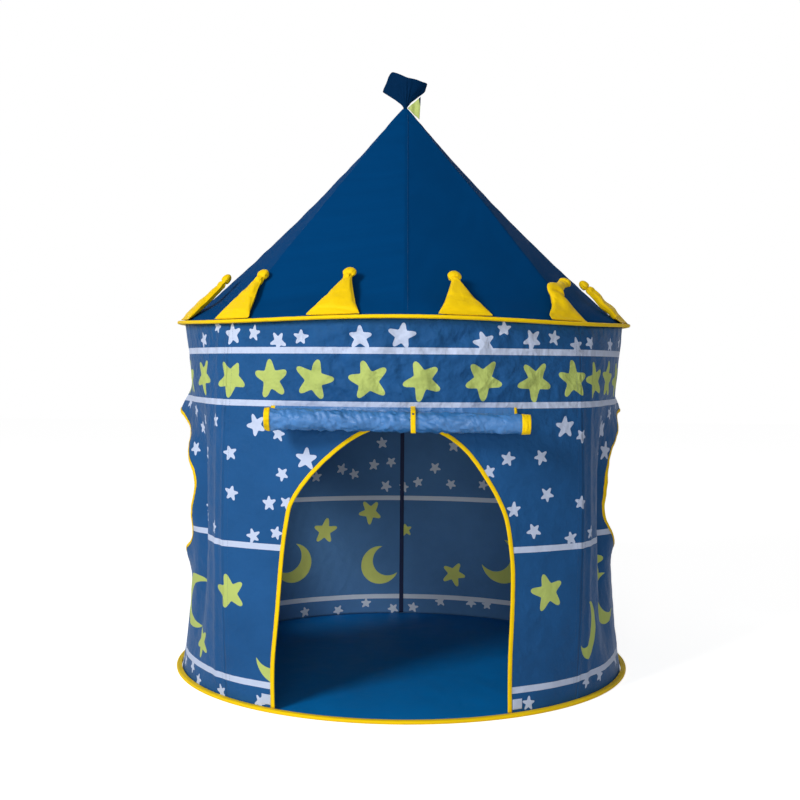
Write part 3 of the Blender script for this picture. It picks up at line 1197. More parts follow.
def make_hoop_tapes():
    sizes = bpy.context.scene.tent_sizes
    for name, height, dip, node in (
        ("eave_tape", EAVE_HEIGHT, EAVE_DIP, "eave_binding"), ("floor_tape", BRIM_THICK / 2, 0.0, "floor_binding"),
    ):
        corners = hoop_profile()
        if node == "floor_binding":
            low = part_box("floor_binding")[0].z
            corners = [(max(x, -FLOOR_TAPE_IN), min(y, BRIM_THICK / 2 - low), z) for x, y, z in corners]
        mesh = bpy.data.meshes.new(name)
        mesh.from_pydata(corners, [(i, (i + 1) % len(corners)) for i in range(len(corners))], [])
        tape = piece(name, mesh, [])
        grow(tape, hoop_tape_tree(), {
            "Radius": BRIM_RADIUS, "Height": height, "Dip": dip, "Pucker": sizes.tape_pucker if dip else 0.0,
            "Steps": sizes.hoop_steps, "Material": finish_of("yellow_tape"),
        })
        turn_outward(tape.data)
        x, y, z = places(tape).T
        lay_map(tape.data, np.stack([np.arctan2(x, -y) * BRIM_RADIUS, np.hypot(x, y) + z], 1))
        settle(tape, "tent", "yellow_cloth", node)
    turn = np.linspace(0, TURN, 900, endpoint=False)
    radius = BRIM_RADIUS - HOOP_STITCHES_IN
    lines = []
    for side, reach, up in (
        (1.0, radius, eave_height(turn) + (BRIM_THICK / 2 - HOOP_STITCHES_DOWN)),
        (-1.0, radius, eave_height(turn) - (BRIM_THICK / 2 - HOOP_STITCHES_DOWN)),
        (1.0, radius + 0.0015, BRIM_THICK - HOOP_STITCHES_DOWN + 0 * turn),
    ):
        lines.append((spread(turn, reach, up), np.tile((0.0, 0.0, side), (len(turn), 1)), True))
    sew("stitches_hoops", lines, "yellow_thread")


ROOF_STITCHES_ASIDE = 0.0062
ROOF_STITCHES_OUT = 0.0003


def make_roof():
    top = ROOF_HOLE_RADIUS / ROOF_FOOT_RADIUS
    share = np.linspace(-1, 1, 151)
    share = np.sign(share) * (1 - (1 - np.abs(share)) ** 1.35)
    rises = top + (1 - top) * np.linspace(1, 0, 141) ** 1.5
    for corner, middle in CORNERS.items():
        angle = middle + share[None, :] * QUARTER / 2 * (1 - 1e-6)
        angle, rise = np.broadcast_arrays(angle, rises[:, None])
        maps = pairs(angle * roof_radius(angle, rise), -rise * ROOF_SLANT)
        gore = grid_piece("roof_cloth_" + corner, roof_point(angle, rise), maps, finishes("roof_cloth"))
        thicken(gore, CLOTH)
        settle(gore, "tent", "roof_cloth", "roof_gore_" + corner)
    lines = []
    for face in FACES.values():
        rise = np.linspace(0.05, 0.985, 260)
        line = roof_point(face + ROOF_STITCHES_ASIDE / roof_radius(face, rise), rise, -ROOF_STITCHES_OUT)
        lines.append((line, away_from_axis(line) * 0.7 + np.array([0, 0, 0.7]), False))
    sew("stitches_roof", lines, "blue_thread")


# The pole sleeves: their radius, their flutter, and how far in from the wall's face their middle lies
SLEEVE_RADIUS = 0.0054
SLEEVE_FLUTTER = 0.0003
SLEEVE_DEPTH = 0.0015 + 0.0058 + 0.0004
SLEEVE_SPAN = (0.034, 0.745)
BACK_TAPE_WIDTH = 0.0112
CORNER_STITCHES_ASIDE = 0.0125
BACK_STITCHES_ASIDE = 0.009


def make_corner_seams():
    """The sleeves that hold the wall poles, the tape on the back seam, and their stitching."""
    for corner, angle in CORNERS.items():
        height = np.linspace(*SLEEVE_SPAN, 90)
        line = spread(angle, wall_radius(angle, height) - SLEEVE_DEPTH, height)
        radius = SLEEVE_RADIUS + SLEEVE_FLUTTER * value_noise(height / 0.02, 0 * height, 51)
        sleeve = tube("pole_sleeve_" + corner, [line], radius, 20, finishes("navy_tape"), closed_ends=False)
        thicken(sleeve, 0.0005)
        settle(sleeve, "tent", "navy_tape", "wall_sleeve_" + corner)
    rows = np.linspace(0.003, 0.789, 160)
    across = np.linspace(-BACK_TAPE_WIDTH / 2, BACK_TAPE_WIDTH / 2, 7)
    angle = math.pi + across[None, :] / SEAM_REACH + 0 * rows[:, None]
    points = wall_point(angle, rows[:, None] + 0 * angle, -CLOTH - 0.0012)
    maps = pairs(across[None, :], rows[:, None])
    tape = grid_piece("seam_tape_back", points, maps, finishes("navy_tape"), flip=True)
    thicken(tape, 0.0009)
    settle(tape, "tent", "navy_tape", "back_seam_tape")
    seams = [(angle, CORNER_STITCHES_ASIDE, 0.03, 0.77) for angle in CORNERS.values()]
    lines = []
    for angle, aside, low, high in (*seams, (math.pi, BACK_STITCHES_ASIDE, 0.01, 0.78)):
        for side in (-1, 1):
            height = np.linspace(low, high, 260)
            line = wall_point(angle + side * aside / SEAM_REACH + 0 * height, height, 0.0001)
            lines.append((line, away_from_axis(line), False))
    sew("stitches_wall", lines, "blue_thread")


# The floor's grid, how high its cloth waves, creases and bumps up, and the pockets that the poles stand in
FLOOR_RINGS, FLOOR_SIDES = 70, 240
FLOOR_WAVES, FLOOR_CREASES, FLOOR_BUMPS = 0.0007, 0.0004, 0.0012
FLOOR_BASE, FLOOR_THICK = 0.0002, 0.0010
POCKET_RADIUS, POCKET_TOP, POCKET_DEPTH = 0.0055, 0.030, 0.0077


def make_floor():
    outer = WALL_FOOT_RADIUS - 0.0022
    share = np.linspace(0.004, 1, FLOOR_RINGS) ** 0.9
    turn = np.linspace(0, TURN, FLOOR_SIDES, endpoint=False)
    radius, turn = np.broadcast_arrays((share * outer)[:, None], turn[None, :])
    x, y = radius * np.sin(turn), -radius * np.cos(turn)
    lift = FLOOR_WAVES * (1 + crumple(x, y, 0.17, 131)) + FLOOR_CREASES * (1 + crumple(x, y, 0.06, 141))
    lift = lift + FLOOR_BUMPS * np.maximum(0, value_noise(x / 0.13, y / 0.16, 151))
    lift = lift * ease((1 - share[:, None]) / 0.05)
    top = np.stack([x, y, FLOOR_BASE + FLOOR_THICK + lift], -1)
    base = np.stack([x, y, FLOOR_BASE + 0 * lift], -1)
    points = np.concatenate([top, base[::-1]])
    faces = tube_faces(*points.shape[:2])
    points = points.reshape(-1, 3)
    mesh = make_mesh("floor_cloth", points, faces, points[:, :2])
    turn_outward(mesh)
    floor = piece("floor_cloth", mesh, finishes("floor_cloth"))
    settle(floor, "tent", "floor_cloth", "floor_sheet")
    height = np.linspace(0.0008, POCKET_TOP, 12)
    lines = [spread(angle, wall_radius(angle, height) - POCKET_DEPTH, height) for angle in CORNERS.values()]
    pockets = tube("foot_pockets", lines, POCKET_RADIUS, 24, finishes("floor_cloth"))
    settle(pockets, "tent", "floor_cloth")


ROLL_LOW, ROLL_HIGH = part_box("door_roll")
ROLL_MIDDLE = np.array([0.0, (ROLL_LOW.y + ROLL_HIGH.y) / 2, ROLL_HEIGHT])
ROLL_TURNS = 6.6
ROLL_PITCH = 0.0031
ROLL_CREASES, ROLL_FINE_CREASES = 0.026, 0.012
# How deep the tie pinches the roll, how far its core slips out at the right, how much thinner it is there,
# and how far its ends stand above its middle line
ROLL_PINCH = 0.0024
ROLL_SLIP = 0.0062
ROLL_TAPER = 0.0022
ROLL_SAG = (0.0045, -0.0030)
FLAP_CLOTH = 0.0007
FLAP_TAPE_WIDTH = 0.0105


def roll_point(across, turn, inward=0.0):
    """A point of the rolled flap: down behind, under and up in front, then inward turn by turn."""
    sizes = bpy.context.scene.tent_sizes
    across, turn = np.broadcast_arrays(np.asarray(across, float), np.asarray(turn, float))
    radius = ROLL_RADIUS - ROLL_PITCH * turn / TURN
    length = ROLL_RADIUS * turn
    outer = ease(1.35 - turn / TURN)
    x, y = across, length
    wrinkle = sizes.roll_crumple * (crumple(x, y, ROLL_CREASES, 171) + 0.6 * crumple(x, y, ROLL_FINE_CREASES, 181))
    wrinkle = wrinkle * (0.25 + 0.75 * outer) - 0.0006 * outer
    bulge = 0.0011 * value_noise(x / 0.09, 0 * y + 0.5, 191) * outer
    pinch = -ROLL_PINCH * bell(across - TIE_MIDDLE, 0.013) * outer
    radius = radius + wrinkle + bulge + pinch - inward
    middle = (ROLL_LEFT + ROLL_RIGHT) / 2
    beyond = np.clip((across - middle) / (ROLL_RIGHT - middle), 0, 1)
    across = across + ROLL_SLIP * beyond * ease((turn / TURN - 1.05) / 0.3)
    share = (across - ROLL_LEFT) / (ROLL_RIGHT - ROLL_LEFT)
    radius = radius - ROLL_TAPER * share * outer
    sag = ROLL_SAG[0] + (ROLL_SAG[1] - ROLL_SAG[0]) * share
    return np.stack([
        across, ROLL_MIDDLE[1] + radius * np.cos(turn), ROLL_MIDDLE[2] + sag - radius * np.sin(turn)
    ], -1)


def make_flap():
    turns = np.concatenate([np.linspace(0, 1.4, 98)[:-1], np.linspace(1.4, ROLL_TURNS, 92)]) * TURN
    steps = (ROLL_RADIUS - ROLL_PITCH * (turns[1:] + turns[:-1]) / 2 / TURN) * np.diff(turns)
    maps_up = 0.59 - np.concatenate([[0], np.cumsum(steps)])
    ends = (ROLL_LEFT + 0.0045, ROLL_RIGHT - 0.0070)
    left, right = ends[0] + FLAP_TAPE_WIDTH, ends[1] - FLAP_TAPE_WIDTH
    for name, span, columns, finish, slot, node, lift, width, under in (
        ("cloth", (left, right), 226, "flap_cloth", "flap_reverse", "", 0.0, right - left, "tie_strap"),
        ("tape_left", (ends[0], left + 0.0005), 6, "yellow_tape", "yellow_cloth", "_binding_left", 0.0004, None,
         "rolled_flap_cloth"),
        ("tape_right", (right - 0.0005, ends[1]), 6, "yellow_tape", "yellow_cloth", "_binding_right", 0.0004, None,
         "rolled_flap_cloth"),
    ):
        across = np.linspace(*span, columns)
        points = roll_point(across[None, :], turns[:, None], -lift)
        maps = pairs(across[None, :], maps_up[:, None])
        cloth = grid_piece("rolled_flap_" + name, points, maps, finishes(finish), flip=True)
        thicken(cloth, FLAP_CLOTH + 2 * lift)
        settle(cloth, "rolled_flap", slot, "door_roll" + node)
    across = np.linspace(ROLL_LEFT + 0.0085, ROLL_RIGHT - 0.0215, 170)
    share = np.linspace(0, 1, 46)
    angle = face_angles(0.0, across, np.full(len(across), FLAP_SEAM_HEIGHT))
    seam = wall_point(angle, np.full(len(across), FLAP_SEAM_HEIGHT), 0.0012)
    start = roll_point(across, np.full(len(across), -0.02), 0.0)
    points = seam[None] * (1 - share[:, None, None]) + start[None] * share[:, None, None]
    hang = np.linalg.norm(start - seam, axis=1)
    droop = 0.10 * hang[None] + 0.0009 * value_noise(across / 0.02, 0 * across, 211)[None]
    droop = np.sin(math.pi * share)[:, None] * droop
    points[..., 2] -= droop * ease((np.abs(across) - 0.06) / 0.1)[None]
    edge = np.minimum(across - across[0], across[-1] - across)
    maps = pairs(across[None, :], 0.62 - 0.03 * share[:, None])
    top = grid_piece("flap_top_cloth", points, maps, finishes("flap_cloth", "yellow_tape"), flip=True)
    paint_faces(top.data, np.tile(edge[:-1] < 0.0085, len(share) - 1))
    thicken(top, 0.0008)
    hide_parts("door_flap_top")
    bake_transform(top, "tent", "rolled_flap", start=(0, 0, FLAP_SEAM_HEIGHT), end=(0, 0, ROLL_HEIGHT + 0.002))
    line = wall_point(angle[3:-3], np.full(len(across) - 6, FLAP_SEAM_HEIGHT - 0.0022), 0.0016)
    sew("stitches_flap", [(line, away_from_axis(line), False)], "blue_thread")


def make_tie():
    path = []
    for height in np.linspace(TIE_SEAM_HEIGHT, TIE_SEAM_HEIGHT - 0.003, 4):
        path.append(wall_point(TIE_MIDDLE / WALL_REACH, height, TIE_THICK))
    radius = ROLL_RADIUS + TIE_GAP
    for turn in np.linspace(math.radians(78), math.pi + 0.25, 40):
        path.append(np.array([TIE_MIDDLE, ROLL_MIDDLE[1] + radius * math.cos(turn),
                              ROLL_MIDDLE[2] + 0.002 + radius * math.sin(turn) - TIE_GAP * math.sin(turn)]))
    last = path[-1]
    for step in np.linspace(0.0015, TIE_END, 9):
        path.append(last + np.array([0.0006 * step / TIE_END, -0.0016 * math.sin(step * 180), -step]))
    path = resample(np.array(path), TIE_PITCH)
    across = np.linspace(-TIE_WIDTH / 2, TIE_WIDTH / 2, 9)
    points = path[:, None] + np.stack([across, 0 * across, 0 * across], -1)[None]
    ahead = np.gradient(path, axis=0)
    out = np.cross(ahead, np.array([1.0, 0, 0]))
    out /= np.linalg.norm(out, axis=1, keepdims=True)
    crown = 0.00035 * (1 - (np.abs(across) / across[-1]) ** 6)
    ripple = 0.0002 * value_noise(np.arange(len(path)) / 4.0, np.zeros(len(path)), 221)
    points = points + out[:, None] * (crown[None, :, None] + ripple[:, None, None])
    maps = pairs(across[None, :], TIE_PITCH * np.arange(len(path))[:, None])
    strap = grid_piece("tie_strap", points, maps, finishes("yellow_tape"))
    thicken(strap, TIE_THICK)
    settle(strap, "flap_tie", "yellow_cloth", "door_tie")
    front = points[int(len(path) * SNAP_ALONG), 4]
    turn = np.linspace(0, TURN, SNAP_SIDES, endpoint=False)
    rings = np.concatenate([
        front + np.stack([radius * np.cos(turn), 0 * turn - off, radius * np.sin(turn)], -1)
        for radius, off in SNAP_SECTION
    ])
    faces = tube_faces(len(SNAP_SECTION), SNAP_SIDES)
    mesh = make_mesh("tie_snap", rings, faces[:-2] + faces[-1:], rings[:, [0, 2]])
    turn_outward(mesh, merge=1e-5)
    settle(piece("tie_snap", mesh, finishes("snap_plastic")), "flap_tie")


def make_patches():
    """The two hook-and-loop squares beside the doorway's foot."""
    for name, side, foot_half in (("left", -1, DOOR_FOOT_LEFT), ("right", 1, DOOR_FOOT_RIGHT)):
        near = DOOR_MIDDLE + side * (foot_half + TAPE_WIDTH + 0.0004)
        u = np.linspace(0, 1, 25)
        across, height = np.broadcast_arrays(near + side * PATCH_SIDE * u[None, :],
                                             PATCH_HEIGHT + PATCH_SIDE * u[:, None])
        rim = np.minimum(np.minimum(u, 1 - u)[None, :], np.minimum(u, 1 - u)[:, None])
        fuzz = PATCH_FUZZ * value_noise(u[None] * 60, u[:, None] * 60, 231)
        lift = 0.0003 + PATCH_PILE * np.minimum(rim / 0.06, 1) ** 0.5 + fuzz
        points = wall_point(face_angles(0.0, across, height), height, lift)
        patch = grid_piece("door_patch_" + name + "_pile", points, pairs(across, height), finishes("hook_and_loop"),
                           flip=side < 0)
        thicken(patch, 0.0008)
        settle(patch, "tent", "hook_and_loop", "door_patch_" + name)


def crown_place(index, shift):
    """A crown point's foot, lean toward the roof and tilt along the eave, as the frame has them."""
    angle = TURN * (index - 0.5) / CROWN_COUNT + shift
    foot = spread(angle, CROWN_FOOT_RADIUS, eave_height(angle) + BRIM_THICK / 2 + CROWN_FOOT_UP)
    ridge = math.atan2(APEX_HEIGHT - float(roof_foot(QUARTER / 2)), ROOF_FOOT_RADIUS)
    low, high = 0.0, QUARTER
    for _ in range(30):
        lean = (low + high) / 2
        radius = CROWN_FOOT_RADIUS - CROWN_BALL_AT * math.sin(lean)
        height = foot[2] + CROWN_BALL_AT * math.cos(lean)
        rise = (APEX_HEIGHT - height) / (APEX_HEIGHT - roof_foot(angle))
        clear = (radius - roof_radius(angle, rise)) * math.sin(ridge)
        low, high = (lean, high) if clear > CROWN_BALL_RADIUS + CROWN_GAP else (low, lean)
    tilt = 2 * EAVE_DIP * math.sin(4 * angle) / CROWN_FOOT_RADIUS
    turned = Matrix.Rotation(angle, 4, "Z") @ Matrix.Rotation(tilt, 4, "Y") @ Matrix.Rotation(-low, 4, "X")
    return Matrix.Translation(Vector(foot)) @ turned


# How each crown point hangs: the degrees that it is sewn off its place, and its middle line
# from foot to ball in millimetres, to the side, out from the roof and up
CROWN_HANG = {
    1: (-1.6, ((0, 0, 0), (-1, -2, 60), (-1, -5, 121))),
    2: (-4.2, ((0, 0, 0), (7, 0, 38), (2, 5, 66), (10, 8, 84), (38, 6, 97), (74, -3, 119))),
    3: (-2.4, ((0, 0, 0), (3, -3, 22), (-2, 0, 42), (3, -7, 66), (5, -2, 92), (0, -5, 126))),
    4: (0.5, ((0, 0, 0), (2, -1, 60), (-3, -5, 132))),
    5: (-0.6, ((0, 0, 0), (-2, 1, 50), (3, -3, 90), (2, -5, 128))),
    6: (0.3, ((0, 0, 0), (1, -2, 60), (4, -5, 134))),
    7: (0.8, ((0, 0, 0), (-1, -1, 60), (-5, -5, 131))),
    8: (-0.7, ((0, 0, 0), (3, 1, 45), (-4, 2, 85), (6, -4, 122))),
    9: (0.2, ((0, 0, 0), (0, -2, 60), (2, -5, 133))),
    10: (3.4, ((0, 0, 0), (2, -3, 45), (2, -5, 90), (0, -2, 135))),
    11: (1.4, ((0, 0, 0), (-2, -2, 60), (-5, -5, 134))),
    12: (-0.8, ((0, 0, 0), (3, -2, 60), (6, -5, 132))),
}


def crown_bend(index, points):
    """Carry an upright crown point's points along its middle line, and to its place on the brim."""
    shift, hang = CROWN_HANG[index]
    line = resample(smoothed(np.array(hang, float) / 1000 * (1, -1, 1), 4), 0.001)
    long = 0.001 * (len(line) - 1)
    ahead = np.gradient(line, axis=0)
    ahead[:3] = (0, 0, 1)
    ahead /= np.linalg.norm(ahead, axis=1, keepdims=True)
    up = points[:, 2]
    at = np.minimum(up, CROWN_NECK_AT) * (long / CROWN_BALL_AT) + np.maximum(up - CROWN_NECK_AT, 0)
    step = np.clip(at / 0.001, 0, len(line) - 1)
    beyond = np.maximum(at - long, 0)[:, None]
    place = np.stack([np.interp(step, np.arange(len(line)), line[:, k]) for k in range(3)], 1)
    toward = np.stack([np.interp(step, np.arange(len(line)), ahead[:, k]) for k in range(3)], 1)
    toward /= np.linalg.norm(toward, axis=1, keepdims=True)
    side = np.array([1.0, 0, 0]) - toward * toward[:, :1]
    side /= np.linalg.norm(side, axis=1, keepdims=True)
    front = np.cross(toward, side)
    bent = place + toward * beyond + side * points[:, :1] + front * points[:, 1:2]
    put_at = crown_place(index, math.radians(shift))
    return bent @ np.array(put_at.to_3x3()).T + np.array(put_at.translation)


# Where the points of one face of a flat crown point lie, as shares of its half width
CROWN_SHARES = np.array([-1.0, -0.975, -0.93, -0.86, -0.76, -0.64, -0.50, -0.34, -0.17, 0.0,
                         0.17, 0.34, 0.50, 0.64, 0.76, 0.86, 0.93, 0.975, 1.0])
CROWN_RINGS = 46
BALL_RINGS = 16
BALL_SQUASH = 0.70
LIMP = {2: 1.6, 3: 1.3, 5: 1.2, 8: 1.3}


def crown_shell(index):
    """One crown point before it is filled: a flat spike with a pinched seam, tied under its ball."""
    share = np.concatenate([CROWN_SHARES, CROWN_SHARES[-2:0:-1]])
    face = np.concatenate([-np.ones(len(CROWN_SHARES)), np.ones(len(CROWN_SHARES) - 2)])
    face[[0, len(CROWN_SHARES) - 1]] = 0
    sides = len(share)
    turn = np.arange(sides) / sides * TURN
    start = math.acos((CROWN_BALL_AT - CROWN_NECK_AT) / CROWN_BALL_RADIUS)
    ball = np.linspace(start, math.pi * 0.985, BALL_RINGS + 1)[1:]
    heights = np.concatenate([
        np.linspace(0, CROWN_NECK_AT, CROWN_RINGS), CROWN_BALL_AT - CROWN_BALL_RADIUS * np.cos(ball),
    ])
    rows, maps = [], []
    phase = random.Random(70 + index).uniform(0, 9)
    for height in heights:
        along = min(height / CROWN_NECK_AT, 1)
        half = CROWN_NECK_HALF + (CROWN_HALF_WIDTH - CROWN_NECK_HALF) * (1 - along) ** CROWN_TAPER
        if index == 2:
            half *= 1 - 0.36 * bell(height - 0.058, 0.016) - 0.16 * bell(height - 0.030, 0.020)
            half *= 1 - 0.36 * float(ease((height - 0.070) / 0.02) * ease((0.126 - height) / 0.02))
        plump = 0.0009 + 0.0042 * math.sin(math.pi * min(along * 0.9 + 0.02, 1)) ** 0.8
        across = half * share
        out = face * plump * np.maximum(0, 1 - np.abs(share / 0.95) ** 2.4) ** 0.75 + face * 0.00035
        if height > CROWN_NECK_AT:
            wide, reach = 1.04, math.sqrt(max(CROWN_BALL_RADIUS ** 2 - (height - CROWN_BALL_AT) ** 2, 1e-8))
            round_share = float(ease((height - CROWN_NECK_AT) / 0.004))
        else:
            round_share = float(ease((along - 0.86) / 0.14))
            wide, reach = 1.0, half * (1 - 0.10 * round_share)
        across = across * (1 - round_share) - np.cos(turn) * wide * reach * round_share
        out = out * (1 - round_share) - np.sin(turn) * BALL_SQUASH * reach * round_share
        rows.append(np.stack([across, out, np.full(sides, height)], -1))
        maps.append(np.stack([across + 0.3 * (face > 0), np.full(sides, height)], -1))
    points, maps = np.array(rows), np.array(maps)
    x, z = points[..., 0], points[..., 2]
    front = np.sign(points[..., 1])
    gathers = np.sin(np.arctan2(points[..., 1], x) * 7 + phase) * bell(z - CROWN_NECK_AT - 0.001, 0.010)
    points[..., :2] *= (1 + 0.09 * gathers)[..., None]
    folds = value_noise(x / 0.011 + phase, z / 0.075 + phase, 300 + index) * bell(z - 0.120, 0.045)
    dents = value_noise(x / 0.030 + phase, z / 0.034 + phase, 320 + index)
    sharp = crumple(x + phase, z + 0.1 * index, 0.026, 340 + index)
    body = ease((CROWN_NECK_AT - z) / 0.02) * ease(z / 0.012) * np.maximum(0, 1 - np.abs(x) / 0.062)
    limp = LIMP.get(index, 0.9) * (0.0016 * folds + 0.0026 * dents + 0.0018 * sharp)
    points[..., 1] += body * limp * np.where(front < 0, 1, 0.8)
    if index == 2:
        points[..., 1] += 0.0045 * body * bell(z - 0.070 - 0.15 * x, 0.0035)
    return points, maps


AIR_FRAMES = 20


def swell(thing, pinned, cap):
    """Fill a closed shell with air in a short cloth simulation, then keep each point near where it was."""
    before = places(thing)
    group = thing.vertex_groups.new(name="sewn")
    group.add([int(i) for i in pinned], 1.0, "REPLACE")
    cloth = thing.modifiers.new("air", "CLOTH")
    cloth.settings.quality = 5
    cloth.settings.mass = 0.12
    cloth.settings.use_pressure = True
    cloth.settings.uniform_pressure_force = 4.0
    cloth.settings.tension_stiffness = cloth.settings.compression_stiffness = 18
    cloth.settings.bending_stiffness = 0.4
    cloth.settings.effector_weights.gravity = 0
    cloth.settings.vertex_group_mass = "sewn"
    cloth.point_cache.frame_start, cloth.point_cache.frame_end = 1, AIR_FRAMES
    scene = bpy.context.scene
    for frame_number in range(1, AIR_FRAMES + 1):
        scene.frame_set(frame_number)
    bake_modifiers(thing)
    scene.frame_set(1)
    thing.vertex_groups.clear()
    move = places(thing) - before
    far = np.linalg.norm(move, axis=1, keepdims=True)
    move_points(thing, before + move * np.minimum(1, cap / np.maximum(far, 1e-9)))


def make_crown():
    sizes = bpy.context.scene.tent_sizes
    for index in range(1, CROWN_COUNT + 1):
        name = f"crown_cushion_{index}"
        points, maps = crown_shell(index)
        rows, sides = points.shape[:2]
        mesh = make_mesh(name, points.reshape(-1, 3), tube_faces(rows, sides), maps.reshape(-1, 2))
        turn_outward(mesh)
        cushion = piece(name, mesh, finishes("yellow_cloth"))
        swell(cushion, range(3 * sides), sizes.crown_swell)
        level = cushion.modifiers.new("smooth", "SUBSURF")
        level.levels = level.render_levels = 1
        bake_modifiers(cushion)
        move_points(cushion, crown_bend(index, places(cushion)))
        settle(cushion, f"crown_spike_{index}", "yellow_cloth", f"crown_point_{index}")


def make_finial():
    rim = np.array([(FINIAL_HALF_WIDTH * x, FINIAL_HALF_DEPTH * y, FINIAL_RISE * z) for x, y, z in FINIAL_RIM])
    at = np.arange(FINIAL_SIDES) / FINIAL_SIDES * len(rim)
    whole, part = np.floor(at).astype(int), (at % 1)[:, None]
    p = [rim[(whole + k) % len(rim)] for k in (-1, 0, 1, 2)]
    curve = 0.5 * (2 * p[1] + (p[2] - p[0]) * part + (2 * p[0] - 5 * p[1] + 4 * p[2] - p[3]) * part ** 2
                   + (3 * p[1] - p[0] - 3 * p[2] + p[3]) * part ** 3)
    curve = 0.75 * curve + 0.25 * (rim[whole % len(rim)] * (1 - part) + rim[(whole + 1) % len(rim)] * part)
    angle = np.unwrap(np.arctan2(curve[:, 0], -curve[:, 1]))
    narrow = np.stack([FINIAL_NECK_RADIUS * np.sin(angle), -FINIAL_NECK_RADIUS * np.cos(angle), 0 * angle], 1)
    share = np.linspace(0, 1, FINIAL_RINGS)[:, None]
    points = narrow[None] * (1 - share ** 1.15)[..., None] + curve[None] * (share ** 1.15)[..., None]
    points[..., 2] = curve[None, :, 2] * share ** 0.92
    around = at[None, :] / len(rim) * FINIAL_GIRTH
    reach = share * FINIAL_LENGTH
    fold = np.sin(angle[None] * 9 + 0.6) + 0.7 * np.sin(angle[None] * 14 + 2.1 + 3 * share)
    fold = fold * FINIAL_FOLDS * np.sin(math.pi * np.clip(share * 1.1, 0, 1)) ** 0.8 * (1.15 - share)
    fold = fold + FINIAL_CREASES * crumple(around + 0 * reach, reach + 0 * around, 0.024, 411) * ease(share / 0.3)
    out = away_from_axis(points.reshape(-1, 3)).reshape(points.shape)
    hem = FINIAL_HEM * ease((share - 0.96) / 0.04)
    points = points + out * (fold - hem)[..., None] * np.array([0.6, 1, 1])
    points = points + np.array([0, 0, FINIAL_NECK])
    stem = np.linspace(-FINIAL_STEM, 0, 5)[:-1]
    base = np.stack([points[0] + np.array([0, 0, low]) for low in stem])
    points = np.concatenate([base, points])
    up = np.concatenate([stem, reach[:, 0]])
    maps = pairs(around, up[:, None])
    collar = grid_piece("finial_cloth", points, maps, finishes("finial_cloth"), wrap_columns=True)
    thicken(collar, 0.0011)
    settle(collar, "tent", "roof_cloth", "finial_collar")
    corners = np.array([(FINIAL_HALF_WIDTH * x, FINIAL_RISE * z) for x, z in FINIAL_LINING])
    u = np.linspace(0, 1, LINING_STEPS + 1)
    left = corners[0] * (1 - u[:, None]) + corners[3] * u[:, None]
    right = corners[1] * (1 - u[:, None]) + corners[2] * u[:, None]
    flat = left[:, None] * (1 - u[None, :, None]) + right[:, None] * u[None, :, None]
    x, z = flat[..., 0], flat[..., 1]
    wave = LINING_WAVE * np.sin(7 * x / 0.02) + LINING_FOLDS * value_noise(x / 0.008, z / 0.012, 421)
    solid = np.stack([x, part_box("finial_lining")[0].y + wave, z + FINIAL_NECK], -1)
    lining = grid_piece("finial_lining_cloth", solid, flat, finishes("lime_cloth", "finial_cloth"), flip=True)
    slots = np.zeros((LINING_STEPS, LINING_STEPS), int)
    slots[:, LINING_FRONT_FACES:] = 1
    paint_faces(lining.data, slots)
    thicken(lining, 0.0009)
    settle(lining, "tent", "lime_cloth", "finial_lining")


FRAME_FINISHES = {
    "pole": "pole_resin", "elbow": "socket_plastic", "apex_hub": "socket_plastic", "hoop": "spring_steel",
}


def make_frame_parts():
    """The poles, elbows, hub and hoops keep their shapes and get their finishes."""
    for name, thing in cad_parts.items():
        finish = next((finish for part, finish in FRAME_FINISHES.items() if part in name), None)
        if finish and not thing.material_slots:
            thing.data.materials.append(None)
        for slot in thing.material_slots if finish else ():
            slot.material = finish_of(finish)


def seen_white(tree):
    """One for the rays that see the white all round: the camera's own, in gloss and through a surface."""
    ray = put(tree, "ShaderNodeLightPath").outputs
    seen = reckon(tree, "MAXIMUM", ray["Is Camera Ray"], ray["Is Glossy Ray"])
    return reckon(tree, "MAXIMUM", seen, ray["Is Transmission Ray"])


# Each lamp's place, what it points at, and its size
LAMPS = {
    "key": ((-2.5, -3.1, 2.4), (0, -0.3, 0.6), 1.1),
    "fill": ((-0.3, -4.1, 0.8), (0, -0.4, 0.6), 1.2),
}
FLOOR_HALF = 12
FLOOR_DROP = 0.0002
# The camera that was fitted to the photo: lens and sensor in millimetres, dip in degrees, roll in radians
CAMERA_LENS, CAMERA_SENSOR = 53.198, 36.0
CAMERA_PLACE = (-0.0075, -2.8069, 0.6993)
CAMERA_DIP, CAMERA_ROLL = 1.675, 0.0073


